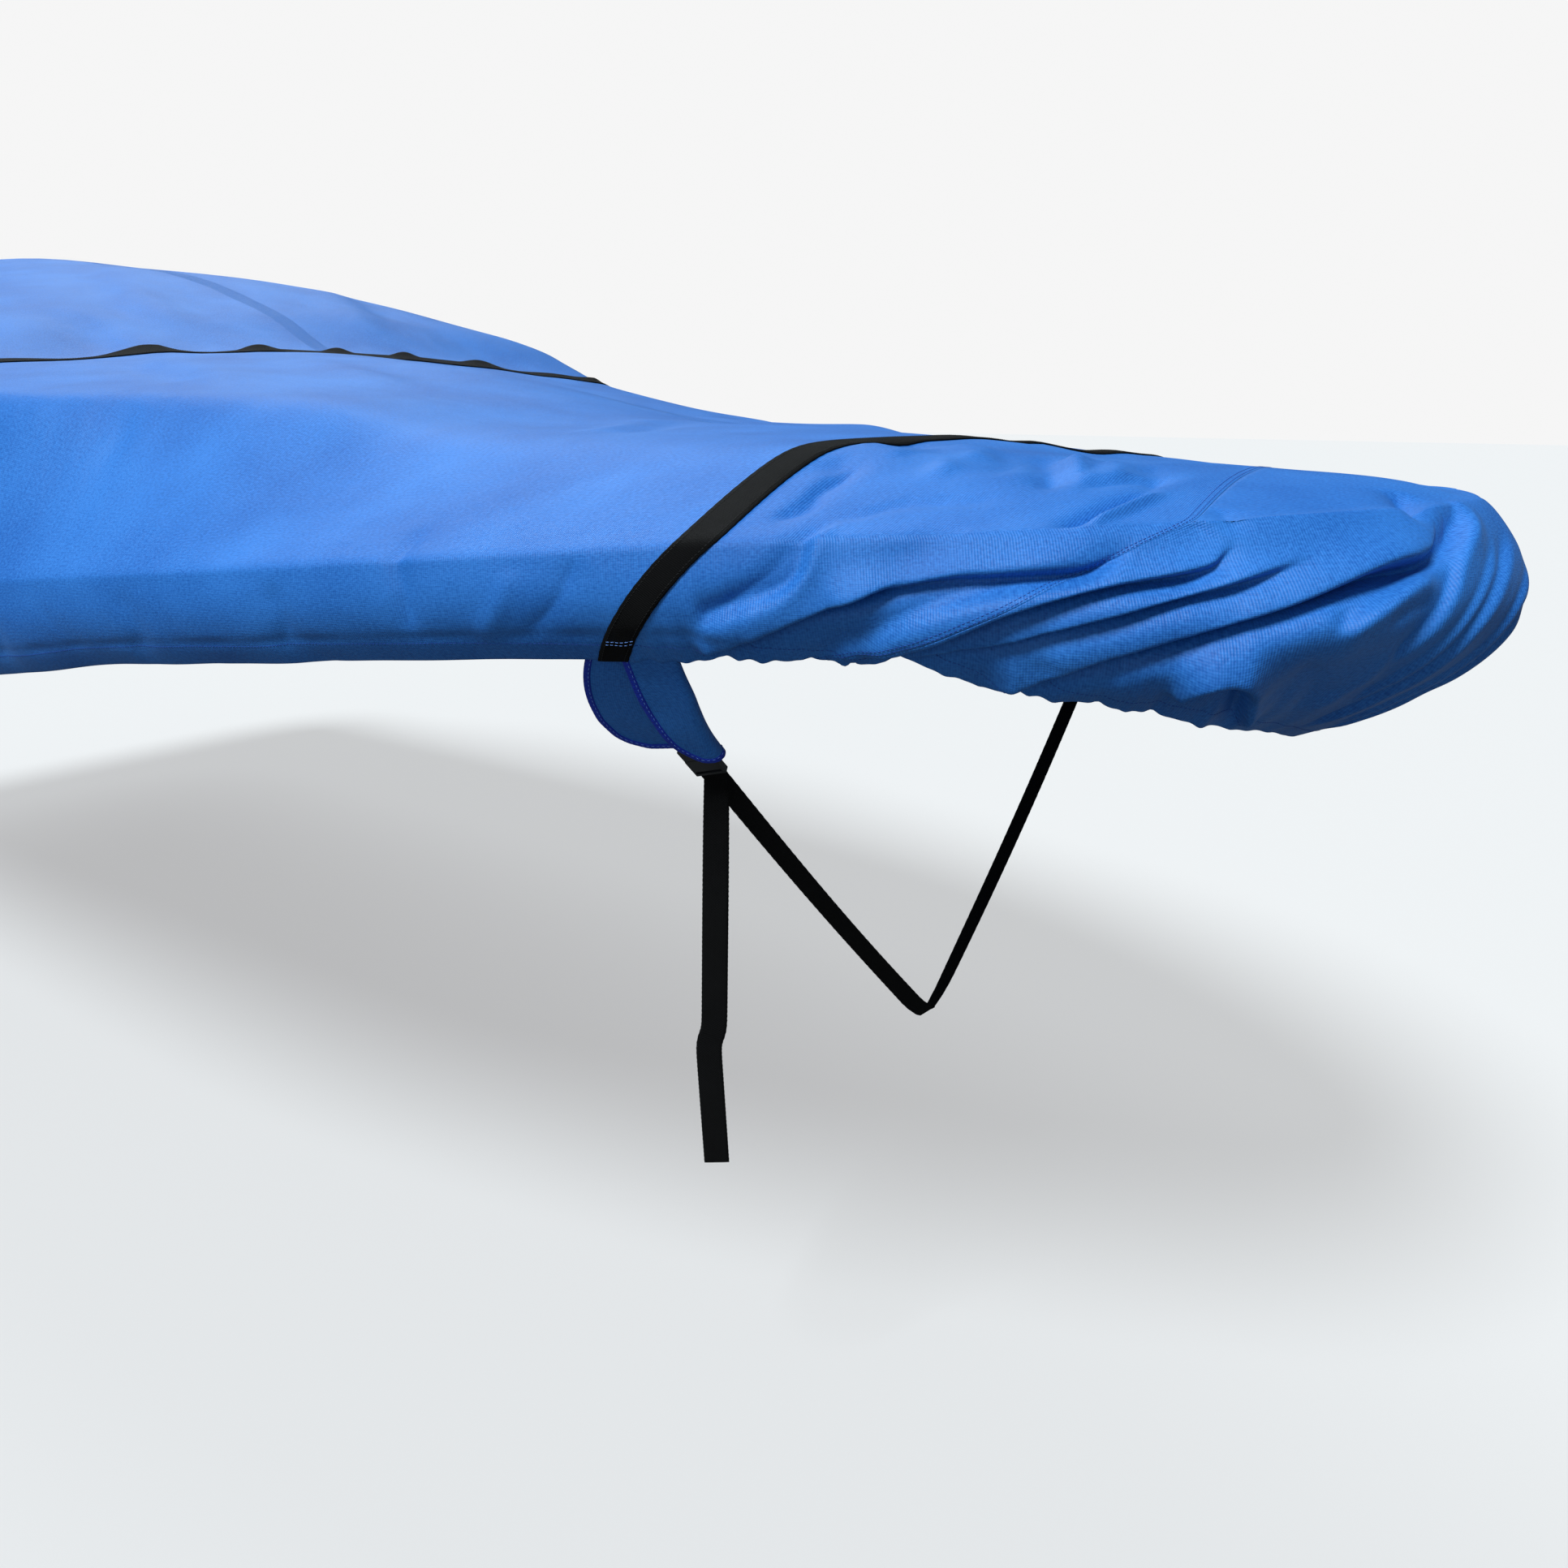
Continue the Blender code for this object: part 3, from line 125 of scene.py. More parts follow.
# ---------------------------------------------------------------- creases of the cloth
# Each crease: height outwards (valleys negative), half width above and below the curve, then the
# places (a, d) that the curve passes. Many places of the starboard foredeck and of the cockpit's
# top were marked in a picture and turned into a and d by another program.
CREASES = (
    # height, above, below, places
    (0.016, 0.022, 0.026, (-0.64, 0.112), (-0.53, 0.14), (-0.45, 0.128), (-0.373, 0.115), (-0.293, 0.096),
     (-0.219, 0.074), (-0.16, 0.052)),
    (0.007, 0.012, 0.012, (-0.6, 0.112), (-0.5, 0.1), (-0.42, 0.084), (-0.34, 0.066)),
    (0.006, 0.011, 0.011, (-0.64, 0.092), (-0.54, 0.078), (-0.45, 0.062), (-0.38, 0.052)),
    (0.012, 0.022, 0.026, (0.62, 0.118), (0.53, 0.138), (0.45, 0.128), (0.373, 0.112), (0.293, 0.09)),
    (-0.0035, 0.009, 0.012, (-0.675, 0.107), (-0.6, 0.09), (-0.52, 0.074), (-0.44, 0.062)),
    (-0.004, 0.01, 0.012, (-0.815, 0.07), (-0.77, 0.046), (-0.735, 0.02), (-0.728, -0.01)),
    (0.004, 0.01, 0.008, (-0.25, 0.092), (-0.22, 0.08), (-0.178, 0.066), (-0.14, 0.066)),
    (-0.004, 0.008, 0.01, (-0.215, 0.098), (-0.185, 0.086), (-0.15, 0.083)),
    (-0.0045, 0.012, 0.014, (-0.172, 0.07), (-0.135, 0.052), (-0.098, 0.022), (-0.09, -0.01)),
    (0.0035, 0.01, 0.012, (-0.215, 0.19), (-0.19, 0.15), (-0.185, 0.115)),
    (-0.005, 0.01, 0.012, (-0.225, 0.195), (-0.245, 0.15), (-0.285, 0.118)),
    # puckers of the top beside the bow strap and the seam
    (-0.0112, 0.014, 0.016, (-0.807, -0.335), (-0.71, -0.205), (-0.657, -0.128)),
    (0.0094, 0.012, 0.012, (-0.78, -0.29), (-0.69, -0.18), (-0.64, -0.12)),
    (-0.0094, 0.01, 0.012, (-0.788, -0.154), (-0.746, -0.128), (-0.745, -0.1), (-0.764, -0.085)),
    (0.0081, 0.01, 0.01, (-0.793, -0.224), (-0.716, -0.185)),
    (-0.0112, 0.013, 0.016, (-0.654, -0.332), (-0.567, -0.169), (-0.534, -0.089)),
    (0.0112, 0.014, 0.012, (-0.62, -0.33), (-0.54, -0.17), (-0.505, -0.095)),
    (-0.0081, 0.01, 0.01, (-0.559, -0.157), (-0.511, -0.124), (-0.471, -0.152), (-0.419, -0.148)),
    (-0.0104, 0.012, 0.013, (-0.44, -0.11), (-0.472, -0.035), (-0.49, 0.002)),
    (0.009, 0.01, 0.01, (-0.425, -0.1), (-0.45, -0.03), (-0.465, 0.0)),
    (-0.009, 0.008, 0.009, (-0.755, -0.091), (-0.743, -0.055), (-0.768, -0.04)),
    (-0.0052, 0.005, 0.006, (-0.729, -0.049), (-0.687, -0.04), (-0.65, -0.06), (-0.556, -0.072)),
    (-0.0043, 0.014, 0.014, (-0.3, -0.04), (-0.325, -0.01), (-0.336, 0.016)),
    (-0.0117, 0.01, 0.012, (-0.07, -0.05), (-0.11, -0.022), (-0.145, 0.016)),
    (-0.0072, 0.02, 0.024, (-0.7, -0.3), (-0.64, -0.23), (-0.6, -0.13)),
    (0.0065, 0.018, 0.018, (-0.76, -0.33), (-0.69, -0.27), (-0.655, -0.18)),
    (-0.0065, 0.016, 0.018, (-0.59, -0.28), (-0.545, -0.21), (-0.52, -0.12)),
    (0.0058, 0.014, 0.018, (-0.56, -0.27), (-0.515, -0.2), (-0.485, -0.12)),
    (-0.0058, 0.014, 0.018, (-0.5, -0.24), (-0.46, -0.17), (-0.44, -0.09)),
    # the cloth stands up under the taut bow strap on the port side
    (0.008, 0.045, 0.045, (0.811, -0.6), (0.811, -0.45), (0.811, -0.2)),
    # the nose draws in low on the port side
    (-0.03, 0.08, 0.08, (-0.03, 0.08), (0.06, 0.13), (0.14, 0.19), (0.26, 0.2)),
    # the deck sags forward of the strap
    (-0.007, 0.09, 0.09, (-0.75, -0.48), (-0.62, -0.4), (-0.48, -0.3)),
    (-0.007, 0.09, 0.09, (0.75, -0.48), (0.62, -0.4), (0.48, -0.3)),
    # top of the cockpit
    (0.0127, 0.03, 0.018, (-3.05, -0.84), (-2.658, -0.698), (-2.535, -0.69), (-2.4, -0.69)),
    (-0.0119, 0.016, 0.028, (-2.96, -0.76), (-2.62, -0.65), (-2.45, -0.65), (-2.33, -0.66)),
    (0.0102, 0.024, 0.016, (-2.62, -0.55), (-2.462, -0.57), (-2.366, -0.571), (-2.29, -0.56)),
    (-0.0102, 0.014, 0.022, (-2.6, -0.5), (-2.44, -0.53), (-2.33, -0.53)),
    (0.0093, 0.026, 0.016, (-2.64, -0.87), (-2.52, -0.81), (-2.42, -0.75), (-2.33, -0.74)),
    (0.0085, 0.02, 0.024, (2.85, -0.56), (2.64, -0.64), (2.48, -0.71), (2.35, -0.72)),
    (-0.0093, 0.02, 0.024, (2.78, -0.5), (2.58, -0.58), (2.4, -0.64)),
    (0.0085, 0.022, 0.016, (-2.18, -0.47), (-2.1, -0.443), (-1.824, -0.34), (-1.68, -0.277)),
    (-0.0085, 0.016, 0.022, (-2.14, -0.42), (-1.9, -0.34), (-1.74, -0.27)),
    (0.0076, 0.02, 0.016, (-1.96, -0.58), (-1.832, -0.544), (-1.684, -0.48), (-1.56, -0.43)),
    (-0.0076, 0.016, 0.02, (-1.88, -0.6), (-1.72, -0.545), (-1.569, -0.501)),
    (-0.0051, 0.012, 0.014, (-1.765, -0.167), (-1.705, -0.14), (-1.66, -0.1)),
    (-0.0044, 0.012, 0.014, (-1.56, -0.215), (-1.5, -0.2), (-1.44, -0.17)),
    (0.0048, 0.016, 0.012, (-1.163, -0.288), (-1.205, -0.419), (-1.312, -0.6)),
    (-0.0051, 0.012, 0.016, (-1.13, -0.3), (-1.17, -0.43), (-1.27, -0.6)),
    (-0.0068, 0.01, 0.01, (-1.135, 0.08), (-1.128, 0.049), (-1.132, 0.009), (-1.15, -0.06)),
    # starboard skirt aft of the strap
    (-0.0035, 0.012, 0.014, (-1.01, 0.085), (-0.96, 0.05), (-0.93, 0.0)),
    (0.003, 0.012, 0.012, (-1.06, 0.09), (-1.02, 0.05), (-1.0, 0.01)),
    (-0.0035, 0.014, 0.014, (-1.32, 0.096), (-1.29, 0.06), (-1.3, 0.01)),
    (-0.0035, 0.014, 0.014, (-1.56, 0.1), (-1.52, 0.065), (-1.54, 0.01)),
    (-0.004, 0.014, 0.016, (-1.84, 0.11), (-1.8, 0.07), (-1.83, 0.0)),
    (-0.005, 0.018, 0.02, (-2.3, 0.115), (-2.24, 0.06), (-2.26, -0.04)),
    (0.0045, 0.018, 0.018, (-2.7, 0.115), (-2.64, 0.06), (-2.6, -0.06)),
    # port side and stern, of the same kinds
    (-0.0045, 0.01, 0.01, (0.9, 0.09), (0.87, 0.04), (0.85, -0.02)),
    (-0.004, 0.014, 0.014, (1.3, 0.096), (1.26, 0.05), (1.28, -0.01)),
    (-0.004, 0.014, 0.014, (1.76, 0.11), (1.72, 0.06), (1.73, 0.0)),
    (0.0045, 0.022, 0.016, (1.96, -0.56), (1.76, -0.5), (1.6, -0.44)),
    (-0.005, 0.018, 0.02, (2.3, 0.115), (2.25, 0.05), (2.26, -0.05)),
    (-0.01, 0.03, 0.04, (-4.1, 0.11), (-4.02, -0.04), (-3.85, -0.3)),
    (0.008, 0.03, 0.03, (-4.3, 0.115), (-4.22, -0.02), (-4.1, -0.26)),
    (-0.01, 0.03, 0.04, (4.1, 0.11), (4.04, -0.04), (3.88, -0.3)),
    (0.008, 0.03, 0.03, (4.32, 0.115), (4.24, -0.02), (4.12, -0.26)),
    (-0.008, 0.03, 0.03, (-4.9, 0.11), (-4.86, -0.06), (-4.82, -0.2)),
    (-0.008, 0.03, 0.03, (4.86, 0.11), (4.82, -0.06), (4.8, -0.2)),
    (0.007, 0.03, 0.03, (-5.2, 0.11), (-5.18, -0.08), (-5.15, -0.24)),
)
# Pleats: height just above the curve, height just below it, how far the upper side laps over the
# lower (none: an open step), widths above and below, then the places (a, d). Many of the starboard
# places were marked in a picture and turned into a and d by another program, the others by hand.
PLEATS = (
    # upper, lower, lap, above, below, places
    (0.011, -0.02, 0.007, 0.02, 0.013, (-0.56, 0.134), (-0.489, 0.116), (-0.445, 0.104), (-0.385, 0.091),
     (-0.304, 0.073), (-0.214, 0.048), (-0.153, 0.04), (-0.133, 0.031), (-0.118, 0.018), (-0.112, 0.004)),
    (0.0075, -0.0115, 0.005, 0.014, 0.01, (-0.665, 0.104), (-0.572, 0.077), (-0.527, 0.064), (-0.446, 0.049),
     (-0.366, 0.039), (-0.348, 0.031), (-0.339, 0.022), (-0.334, 0.006)),
    (0.007, -0.011, 0.005, 0.012, 0.01, (-0.65, 0.112), (-0.597, 0.101), (-0.548, 0.093), (-0.494, 0.082),
     (-0.388, 0.061), (-0.319, 0.047), (-0.262, 0.034)),
    (0.005, -0.0075, 0.003, 0.02, 0.012, (-0.7, 0.056), (-0.595, 0.039), (-0.548, 0.037), (-0.478, 0.035),
     (-0.455, 0.03), (-0.441, 0.022), (-0.432, 0.006)),
    (-0.005, 0.0065, 0.0, 0.014, 0.018, (-0.71, 0.112), (-0.644, 0.083), (-0.596, 0.065), (-0.528, 0.05),
     (-0.478, 0.043), (-0.445, 0.034), (-0.425, 0.014), (-0.42, -0.004)),
    (0.0075, -0.01, 0.0045, 0.018, 0.011, (-0.83, 0.104), (-0.746, 0.077), (-0.703, 0.063), (-0.668, 0.05),
     (-0.62, 0.038)),
    (-0.0055, 0.0055, 0.0, 0.018, 0.014, (-0.82, 0.076), (-0.769, 0.06), (-0.735, 0.048), (-0.716, 0.033),
     (-0.709, 0.017), (-0.702, -0.008), (-0.69, -0.03)),
    (-0.007, 0.0075, 0.0, 0.012, 0.016, (-0.262, 0.098), (-0.21, 0.074), (-0.17, 0.057), (-0.131, 0.045),
     (-0.095, 0.027), (-0.064, 0.006), (-0.048, -0.02)),
    (-0.0042, 0.0044, 0.0, 0.01, 0.011, (-0.182, 0.14), (-0.161, 0.112), (-0.137, 0.075), (-0.114, 0.046),
     (-0.071, 0.02), (-0.04, 0.0)),
    (-0.0044, 0.0046, 0.0, 0.011, 0.011, (-0.16, 0.215), (-0.139, 0.175), (-0.118, 0.135), (-0.098, 0.102),
     (-0.052, 0.058), (0.0, 0.03)),
    (-0.003, 0.0034, 0.0, 0.009, 0.01, (-0.165, 0.185), (-0.142, 0.135), (-0.1, 0.08), (-0.04, 0.028)),
    (-0.003, 0.0034, 0.0, 0.009, 0.01, (-0.112, 0.215), (-0.085, 0.155), (-0.036, 0.092), (0.024, 0.052)),
    (0.016, -0.012, 0.003, 0.016, 0.013, (-0.378, 0.15), (-0.361, 0.128), (-0.333, 0.127), (-0.314, 0.142),
     (-0.3, 0.168), (-0.276, 0.206)),
    (-0.0035, 0.004, 0.0, 0.014, 0.014, (-0.085, 0.225), (-0.062, 0.175), (-0.04, 0.13), (-0.01, 0.095)),
    # port side, of the same kinds
    (0.008, -0.01, 0.0045, 0.018, 0.019, (0.54, 0.124), (0.45, 0.108), (0.35, 0.082), (0.24, 0.056),
     (0.165, 0.04), (0.14, 0.022), (0.13, 0.002)),
    (0.0055, -0.007, 0.0035, 0.014, 0.014, (0.64, 0.1), (0.55, 0.078), (0.44, 0.055), (0.37, 0.04),
     (0.345, 0.014)),
    (0.0045, -0.006, 0.0025, 0.016, 0.014, (0.8, 0.092), (0.7, 0.062), (0.6, 0.045), (0.52, 0.036),
     (0.49, 0.008)),
    (-0.005, 0.006, 0.0, 0.014, 0.018, (0.74, 0.11), (0.64, 0.082), (0.54, 0.056), (0.46, 0.04),
     (0.44, 0.0)),
    (-0.0045, 0.005, 0.0, 0.014, 0.016, (0.3, 0.108), (0.23, 0.08), (0.18, 0.056), (0.15, 0.026)),
    (-0.0035, 0.0035, 0.0, 0.014, 0.014, (0.2, 0.19), (0.17, 0.14), (0.135, 0.09), (0.12, 0.05)),
    (-0.003, 0.0035, 0.0, 0.014, 0.014, (0.12, 0.225), (0.1, 0.18), (0.08, 0.14), (0.06, 0.11)),
    (0.0095, -0.008, 0.003, 0.016, 0.013, (0.4, 0.15), (0.372, 0.13), (0.34, 0.132), (0.316, 0.156),
     (0.296, 0.2)),
)
PLEAT_CORE, SOFT_CORE = 0.0022, 0.0050  # half width of the step across a lapped edge and an open one
PLEAT_DEPTH = 1.45          # all pleats are this much deeper than their heights say
PLEAT_START, PLEAT_END = 0.07, 0.24     # shares of a pleat over which it grows and fades
PLEAT_RUN_OUT = 1.4         # how squarely the low side of a pleat runs out
LAP_BACK = 0.4              # the low side moves back by this share of the lap
FOLD_KEPT, FOLD_FADE = 0.6, 0.35        # share of a solid's fold kept here, and where it fades
RIDGE_POWER, VALLEY_POWER = 1.8, 1.25   # roundness of a crease across its width
CREASE_FADE = 0.25          # share of a crease over which its ends fade
HEM_EASE, HEM_EASE_END, HEM_EASE_FADE = 0.004, 0.78, 0.15   # the hem hangs out a little at the bow
HEM_EASE_FROM, HEM_EASE_GROW = 0.35, 0.5    # shares of the skirt over which it sets in
CURVE_SAMPLES = 120
UNDULATION = 0.0012         # height of the cloth's slow waves
CLOSING = 0.15              # waves fade this far from the stern's middle, where both sides meet
# Gathers of the elastic hem: stretch along the hem, waves in it, swell at the hem, power of its fade.
GATHERS = (
    # a0, a1, waves, height, fade
    (-0.915, -0.815, 2.2, 0.005, 3.0),
    (-0.83, -0.735, 2.3, 0.0056, 2.4),
    (-0.75, -0.665, 1.3, 0.003, 3.0),
    (-0.69, -0.65, 1.8, 0.005, 5.0),
    (-0.66, -0.575, 1.9, 0.0042, 4.0),
    (-0.6, -0.53, 0.9, 0.0024, 2.4),
    (-0.548, -0.47, 4.0, 0.0068, 4.5),
    (-0.478, -0.435, 0.9, 0.0034, 3.0),
    (-0.452, -0.4, 2.3, 0.006, 4.0),
    (-0.41, -0.3, 2.1, 0.0064, 3.0),
    (-0.31, -0.12, 1.4, 0.003, 3.0),
    (0.11, 0.32, 2.0, 0.0036, 3.0),
    (0.3, 0.43, 3.2, 0.0062, 3.2),
    (0.41, 0.56, 4.2, 0.0056, 4.0),
    (0.54, 0.7, 3.2, 0.004, 3.6),
    (0.68, 0.93, 5.2, 0.005, 3.0),
    (-1.6, -0.92, 4.7, 0.0018, 1.8),
    (-2.6, -1.5, 6.5, 0.0026, 1.8),
    (-4.0, -2.4, 13.0, 0.0034, 2.0),
    (-5.5, -3.8, 14.4, 0.004, 2.0),
    (0.9, 1.7, 5.4, 0.002, 1.8),
    (1.6, 2.6, 6.5, 0.0028, 1.8),
    (2.45, 4.0, 13.0, 0.0034, 2.0),
    (3.8, 5.5, 14.4, 0.004, 2.0),
)
GATHER_SWELL = 1.50
GATHER_CREST, GATHER_ROUND, GATHER_SINK = 1.5, 0.7, 0.9     # shape of one wave
GATHER_LEAN = 1.2           # the waves lean along the hem, in radians from top to bottom
GATHER_FADE, GATHER_RISE = 0.25, 0.65   # fade at a stretch's ends; how early a wave starts
GATHER_HANG = 0.10          # a lobe of the hem hangs lower by this share of its swell
HEM_TURN = 0.0016           # radius of the fold at the hem
HEM_DEPTH = 0.028           # hem allowance, turned up inside and stitched there
HEM_ANGLES = (math.pi / 3, 2 * math.pi / 3, math.pi)        # extra columns round the hem's fold
HEM_COLUMNS = (1, 2, 4, 6)  # grid columns that the turned-up cloth lies under
HEM_ROWS = len(HEM_ANGLES) + len(HEM_COLUMNS)
HEM_UV_STEP = 0.003         # the weave runs on by this much in each extra column
SKIRT_REACH = 0.115         # about how deep the skirt is
STITCH_PULL, STITCH_DIMPLE = 0.0013, 0.0045     # how far and how wide the stitches pull it in
SEAM_STITCHES, SEAM_EDGE_ROWS = (0.004, 0.0095), 14     # rows of stitches behind the seam
THREAD_LIFT = 0.0001        # a stitch's middle over the surface
# Stitches: pitch, length, radius.
CLOTH_STITCH = (0.0045, 0.0032, 0.00032)
WEB_STITCH = (0.0042, 0.0030, 0.00028)
WEB_HEM_STITCH = (0.0050, 0.0036, 0.00042)
BINDING_STITCH = (0.0060, 0.0034, 0.00038)
STITCH_SHAPE = ((0.0, -0.35, 0.35), (0.18, 0.55, 1.0), (0.82, 0.55, 1.0), (1.0, -0.35, 0.35))


# ---------------------------------------------------------------- tabs, buckles and webs
# The tab: the stations of its folded edge and of its two free edges, and the fold's radius, by
# height. Half of the stations were marked in a picture and turned into metres by another program.
TAB_COLUMNS = ("z", "fold", "front", "back", "turn")
TAB = (
    (-0.022, 0.632, 0.684, 0.712, 0.0045),
    (-0.042, 0.635, 0.686, 0.727, 0.005),
    (-0.064, 0.638, 0.689, 0.741, 0.0056),
    (-0.086, 0.641, 0.693, 0.752, 0.0064),
    (-0.108, 0.647, 0.696, 0.76, 0.0074),
    (-0.128, 0.653, 0.697, 0.765, 0.0084),
    (-0.144, 0.657, 0.696, 0.765, 0.0091),
    (-0.156, 0.659, 0.69, 0.759, 0.0095),
    (-0.165, 0.66, 0.68, 0.742, 0.0096),
)
HEM_AT_TAB = np.array((0.62, -0.552, -0.037))
HEM_SLOPE, TAB_SLOPE, TAB_CURVE, TAB_INSET = 0.42, 0.5, 2.0, 0.006
BINDING_REACH, BINDING_WALL, BINDING_EASE = 0.007, 0.0007, 0.0004
BUCKLE_STATION, BUCKLE_DEPTH = 0.6910, -0.180
BUCKLE_FACE = np.array((-0.285, -0.678, -0.678))
LADDER_LENGTH = 0.0280
KEEL_POINT = np.array((0.738, 0.0, -0.648))
KEEL_RAKE = np.array((0.79, 0.0, -0.61))
KEEL_TURN, KEEL_ROUND, TIE_BOW, WEB_SPREAD = 0.05, 0.01, 0.006, 0.0008
TAIL_LENGTH, TAIL_LEAD = 0.490, 0.010
TAIL_ACROSS = np.array((0.80, -0.60, 0.0))
TAIL_JOG, TAIL_JOG_AT, TAIL_JOG_RATE, TAIL_LEAN, TAIL_RETURN = 0.0075, 0.66, 90, 0.0075, 0.008
WEB_CELLS = 8               # cells across a web's width
EDGE_THIN = 0.35            # share by which a web is thinner at its edges
SEWN_LIFT, SEWN_UNDER = 0.0006, 0.0002  # the sewn web's middle and its underside over the cloth
SEWN_STEP = 0.0045
SEWN_HEM_GAP = 0.006        # between the two rows of stitches where it crosses the hem
CURL_POWER = 1.5            # the web's curl grows towards its back edge
TIE_SERRATION, SEWN_SERRATION = (0.00022, 0.0032), (0.00025, 0.0034)    # height and pitch
TAB_ROWS, TAB_TOP, TAB_CROWD = 44, 0.012, 1.6   # rows, reach above the table, crowding of the lowest
TAB_FLAT_CELLS, TAB_FOLD_CELLS = 14, 12
TAB_CLOTH, TAB_RIPPLE = 0.0022, 0.0007
BINDING_STEP, BINDING_SMOOTHING = 0.0018, 6
BINDING_RIPPLE, BINDING_RIPPLE_PITCH = 0.05, 0.0062
BINDING_SPAN = 0.018        # width of the tape, unfolded


class Smooth:
    """Smooth interpolation through a table's points, without overshoot, for arrays."""

    def __init__(self, xs, ys):
        self.xs, self.ys = np.array(xs, float), np.array(ys, float)
        step = np.diff(self.xs)
        rate = np.diff(self.ys) / step
        slope = np.zeros(len(xs))
        slope[0], slope[-1] = rate[0], rate[-1]
        for i in range(1, len(xs) - 1):
            if rate[i - 1] * rate[i] > 0:
                near, far = 2 * step[i] + step[i - 1], step[i] + 2 * step[i - 1]
                slope[i] = (near + far) / (near / rate[i - 1] + far / rate[i])
        self.step, self.slope = step, slope

    def __call__(self, x):
        x = np.clip(np.asarray(x, float), self.xs[0], self.xs[-1])
        k = np.clip(np.searchsorted(self.xs, x, side="right") - 1, 0, len(self.step) - 1)
        t = (x - self.xs[k]) / self.step[k]
        low, high = self.slope[k] * self.step[k], self.slope[k + 1] * self.step[k]
        return ((1 + 2 * t) * (1 - t) ** 2 * self.ys[k] + t * (1 - t) ** 2 * low
                + t * t * (3 - 2 * t) * self.ys[k + 1] - t * t * (1 - t) * high)


def columns(table, names):
    first = [row[0] for row in table]
    return {name: Smooth(first, [row[k] for row in table]) for k, name in enumerate(names)}


def unit(vectors, least=1e-12):
    """Vectors at unit length."""
    return vectors / np.maximum(np.linalg.norm(vectors, axis=-1, keepdims=True), least)


def run_along(points, axis=0):
    """Distance run along a line of points, or along each line of a grid."""
    step = np.linalg.norm(np.diff(points, axis=axis), axis=-1)
    return np.concatenate([np.zeros_like(step.take([0], axis)), np.cumsum(step, axis=axis)], axis)


def sample(values, knots, at):
    """Rows of values, interpolated at places between their knots."""
    return np.stack([np.interp(at, knots, values[:, k]) for k in range(values.shape[1])], -1)


def ripple(run, height, pitch):
    return height * np.sin(2 * math.pi * run / pitch)

SECTION = columns(SECTIONS, SECTION_COLUMNS)
SKIRTS = columns(SKIRT, SKIRT_COLUMNS)


def half_beam(s):
    s = np.clip(np.asarray(s, float), NOSE_SETBACK, COVER_LENGTH)
    left = 1 - (np.minimum(s, BOW_LENGTH) - NOSE_SETBACK) / (BOW_LENGTH - NOSE_SETBACK)
    bow = HALF_BEAM * (1 - left * left) ** BOW_FULLNESS
    share = np.clip((s - BOW_LENGTH) / (STERN_START - BOW_LENGTH), 0, 1)
    reach = np.clip((s - STERN_START) / (COVER_LENGTH - STERN_START), 0, 1)
    side = HALF_BEAM + (STERN_HALF_BEAM - HALF_BEAM) * share ** 2
    return np.where(s < BOW_LENGTH, bow, side * (1 - reach ** CORNER_POWER) ** (1 / CORNER_POWER))


def top_height(s, y):
    s, y = np.asarray(s, float), np.asarray(y, float)
    beam, crease = half_beam(s), SKIRTS["crease"](s)
    rim_rise, mid_rise = SECTION["rim_rise"](s), SECTION["mid_rise"](s)
    safe = np.maximum(beam, 1e-6)
    rim = SECTION["rim"](s) * safe
    reach = np.minimum(np.abs(y), safe)
    side = rim_rise * (safe - reach) / (safe - rim)
    crown = mid_rise + (rim_rise - mid_rise) * (reach / rim) ** 2
    low = np.minimum(side, crown)
    rise = low - KNEE * np.log(np.exp((low - side) / KNEE) + np.exp((low - crown) / KNEE))
    share = np.clip((y / safe - SAG_FROM) / (SAG_TO - SAG_FROM), 0, 1)
    sag = SECTION["port_sag"](s) * share * share * (3 - 2 * share)
    return np.where((beam <= 1e-6) | (rim_rise <= 0), crease, crease + np.maximum(rise, 0) * (1 - sag))


class Crease:
    """The starboard crease line, by distance from the nose."""

    def __init__(self):
        turns = np.linspace(0, math.pi / 2, CREASE_STEPS + 1)
        bow = NOSE_SETBACK + (BOW_LENGTH - NOSE_SETBACK) * (1 - np.cos(turns))
        side = np.linspace(BOW_LENGTH, STERN_START, CREASE_STEPS + 1)[1:]
        s = np.concatenate([bow, side])
        y = -half_beam(s)
        power = 2 / CORNER_POWER
        round_s = STERN_START + (COVER_LENGTH - STERN_START) * np.sin(turns[1:]) ** power
        round_y = -STERN_HALF_BEAM * np.abs(np.cos(turns[1:])) ** power
        self.s, self.y = np.concatenate([s, round_s]), np.concatenate([y, round_y])
        self.y[-1] = 0.0
        self.length = np.concatenate([[0], np.cumsum(np.hypot(np.diff(self.s), np.diff(self.y)))])
        along_s, along_y = np.gradient(self.s), np.gradient(self.y)
        along_s[0], along_y[0] = 0.0, -1.0
        size = np.hypot(along_s, along_y)
        self.out_s, self.out_y = along_y / size, -along_s / size

    def at(self, a):
        a = np.clip(a, 0, self.length[-1])
        s, y = np.interp(a, self.length, self.s), np.interp(a, self.length, self.y)
        out = np.stack([np.interp(a, self.length, self.out_s), np.interp(a, self.length, self.out_y)], -1)
        return s, y, unit(out)

    def find(self, s):
        return float(np.interp(s, self.s, self.length))


CREASE = Crease()
MOUNT_HEIGHT = float(top_height(MOUNT_STATION, 0.0)) - MOUNT_DROP


def to_world(points):
    """Surface coordinates to the world: the cover's frame, raked bow-up."""
    points = np.asarray(points, float)
    x, z = MOUNT_STATION - points[..., 0], points[..., 2] - MOUNT_HEIGHT
    cosine, sine = math.cos(BOW_UP), math.sin(BOW_UP)
    return np.stack([x * cosine - z * sine, points[..., 1], x * sine + z * cosine], -1)


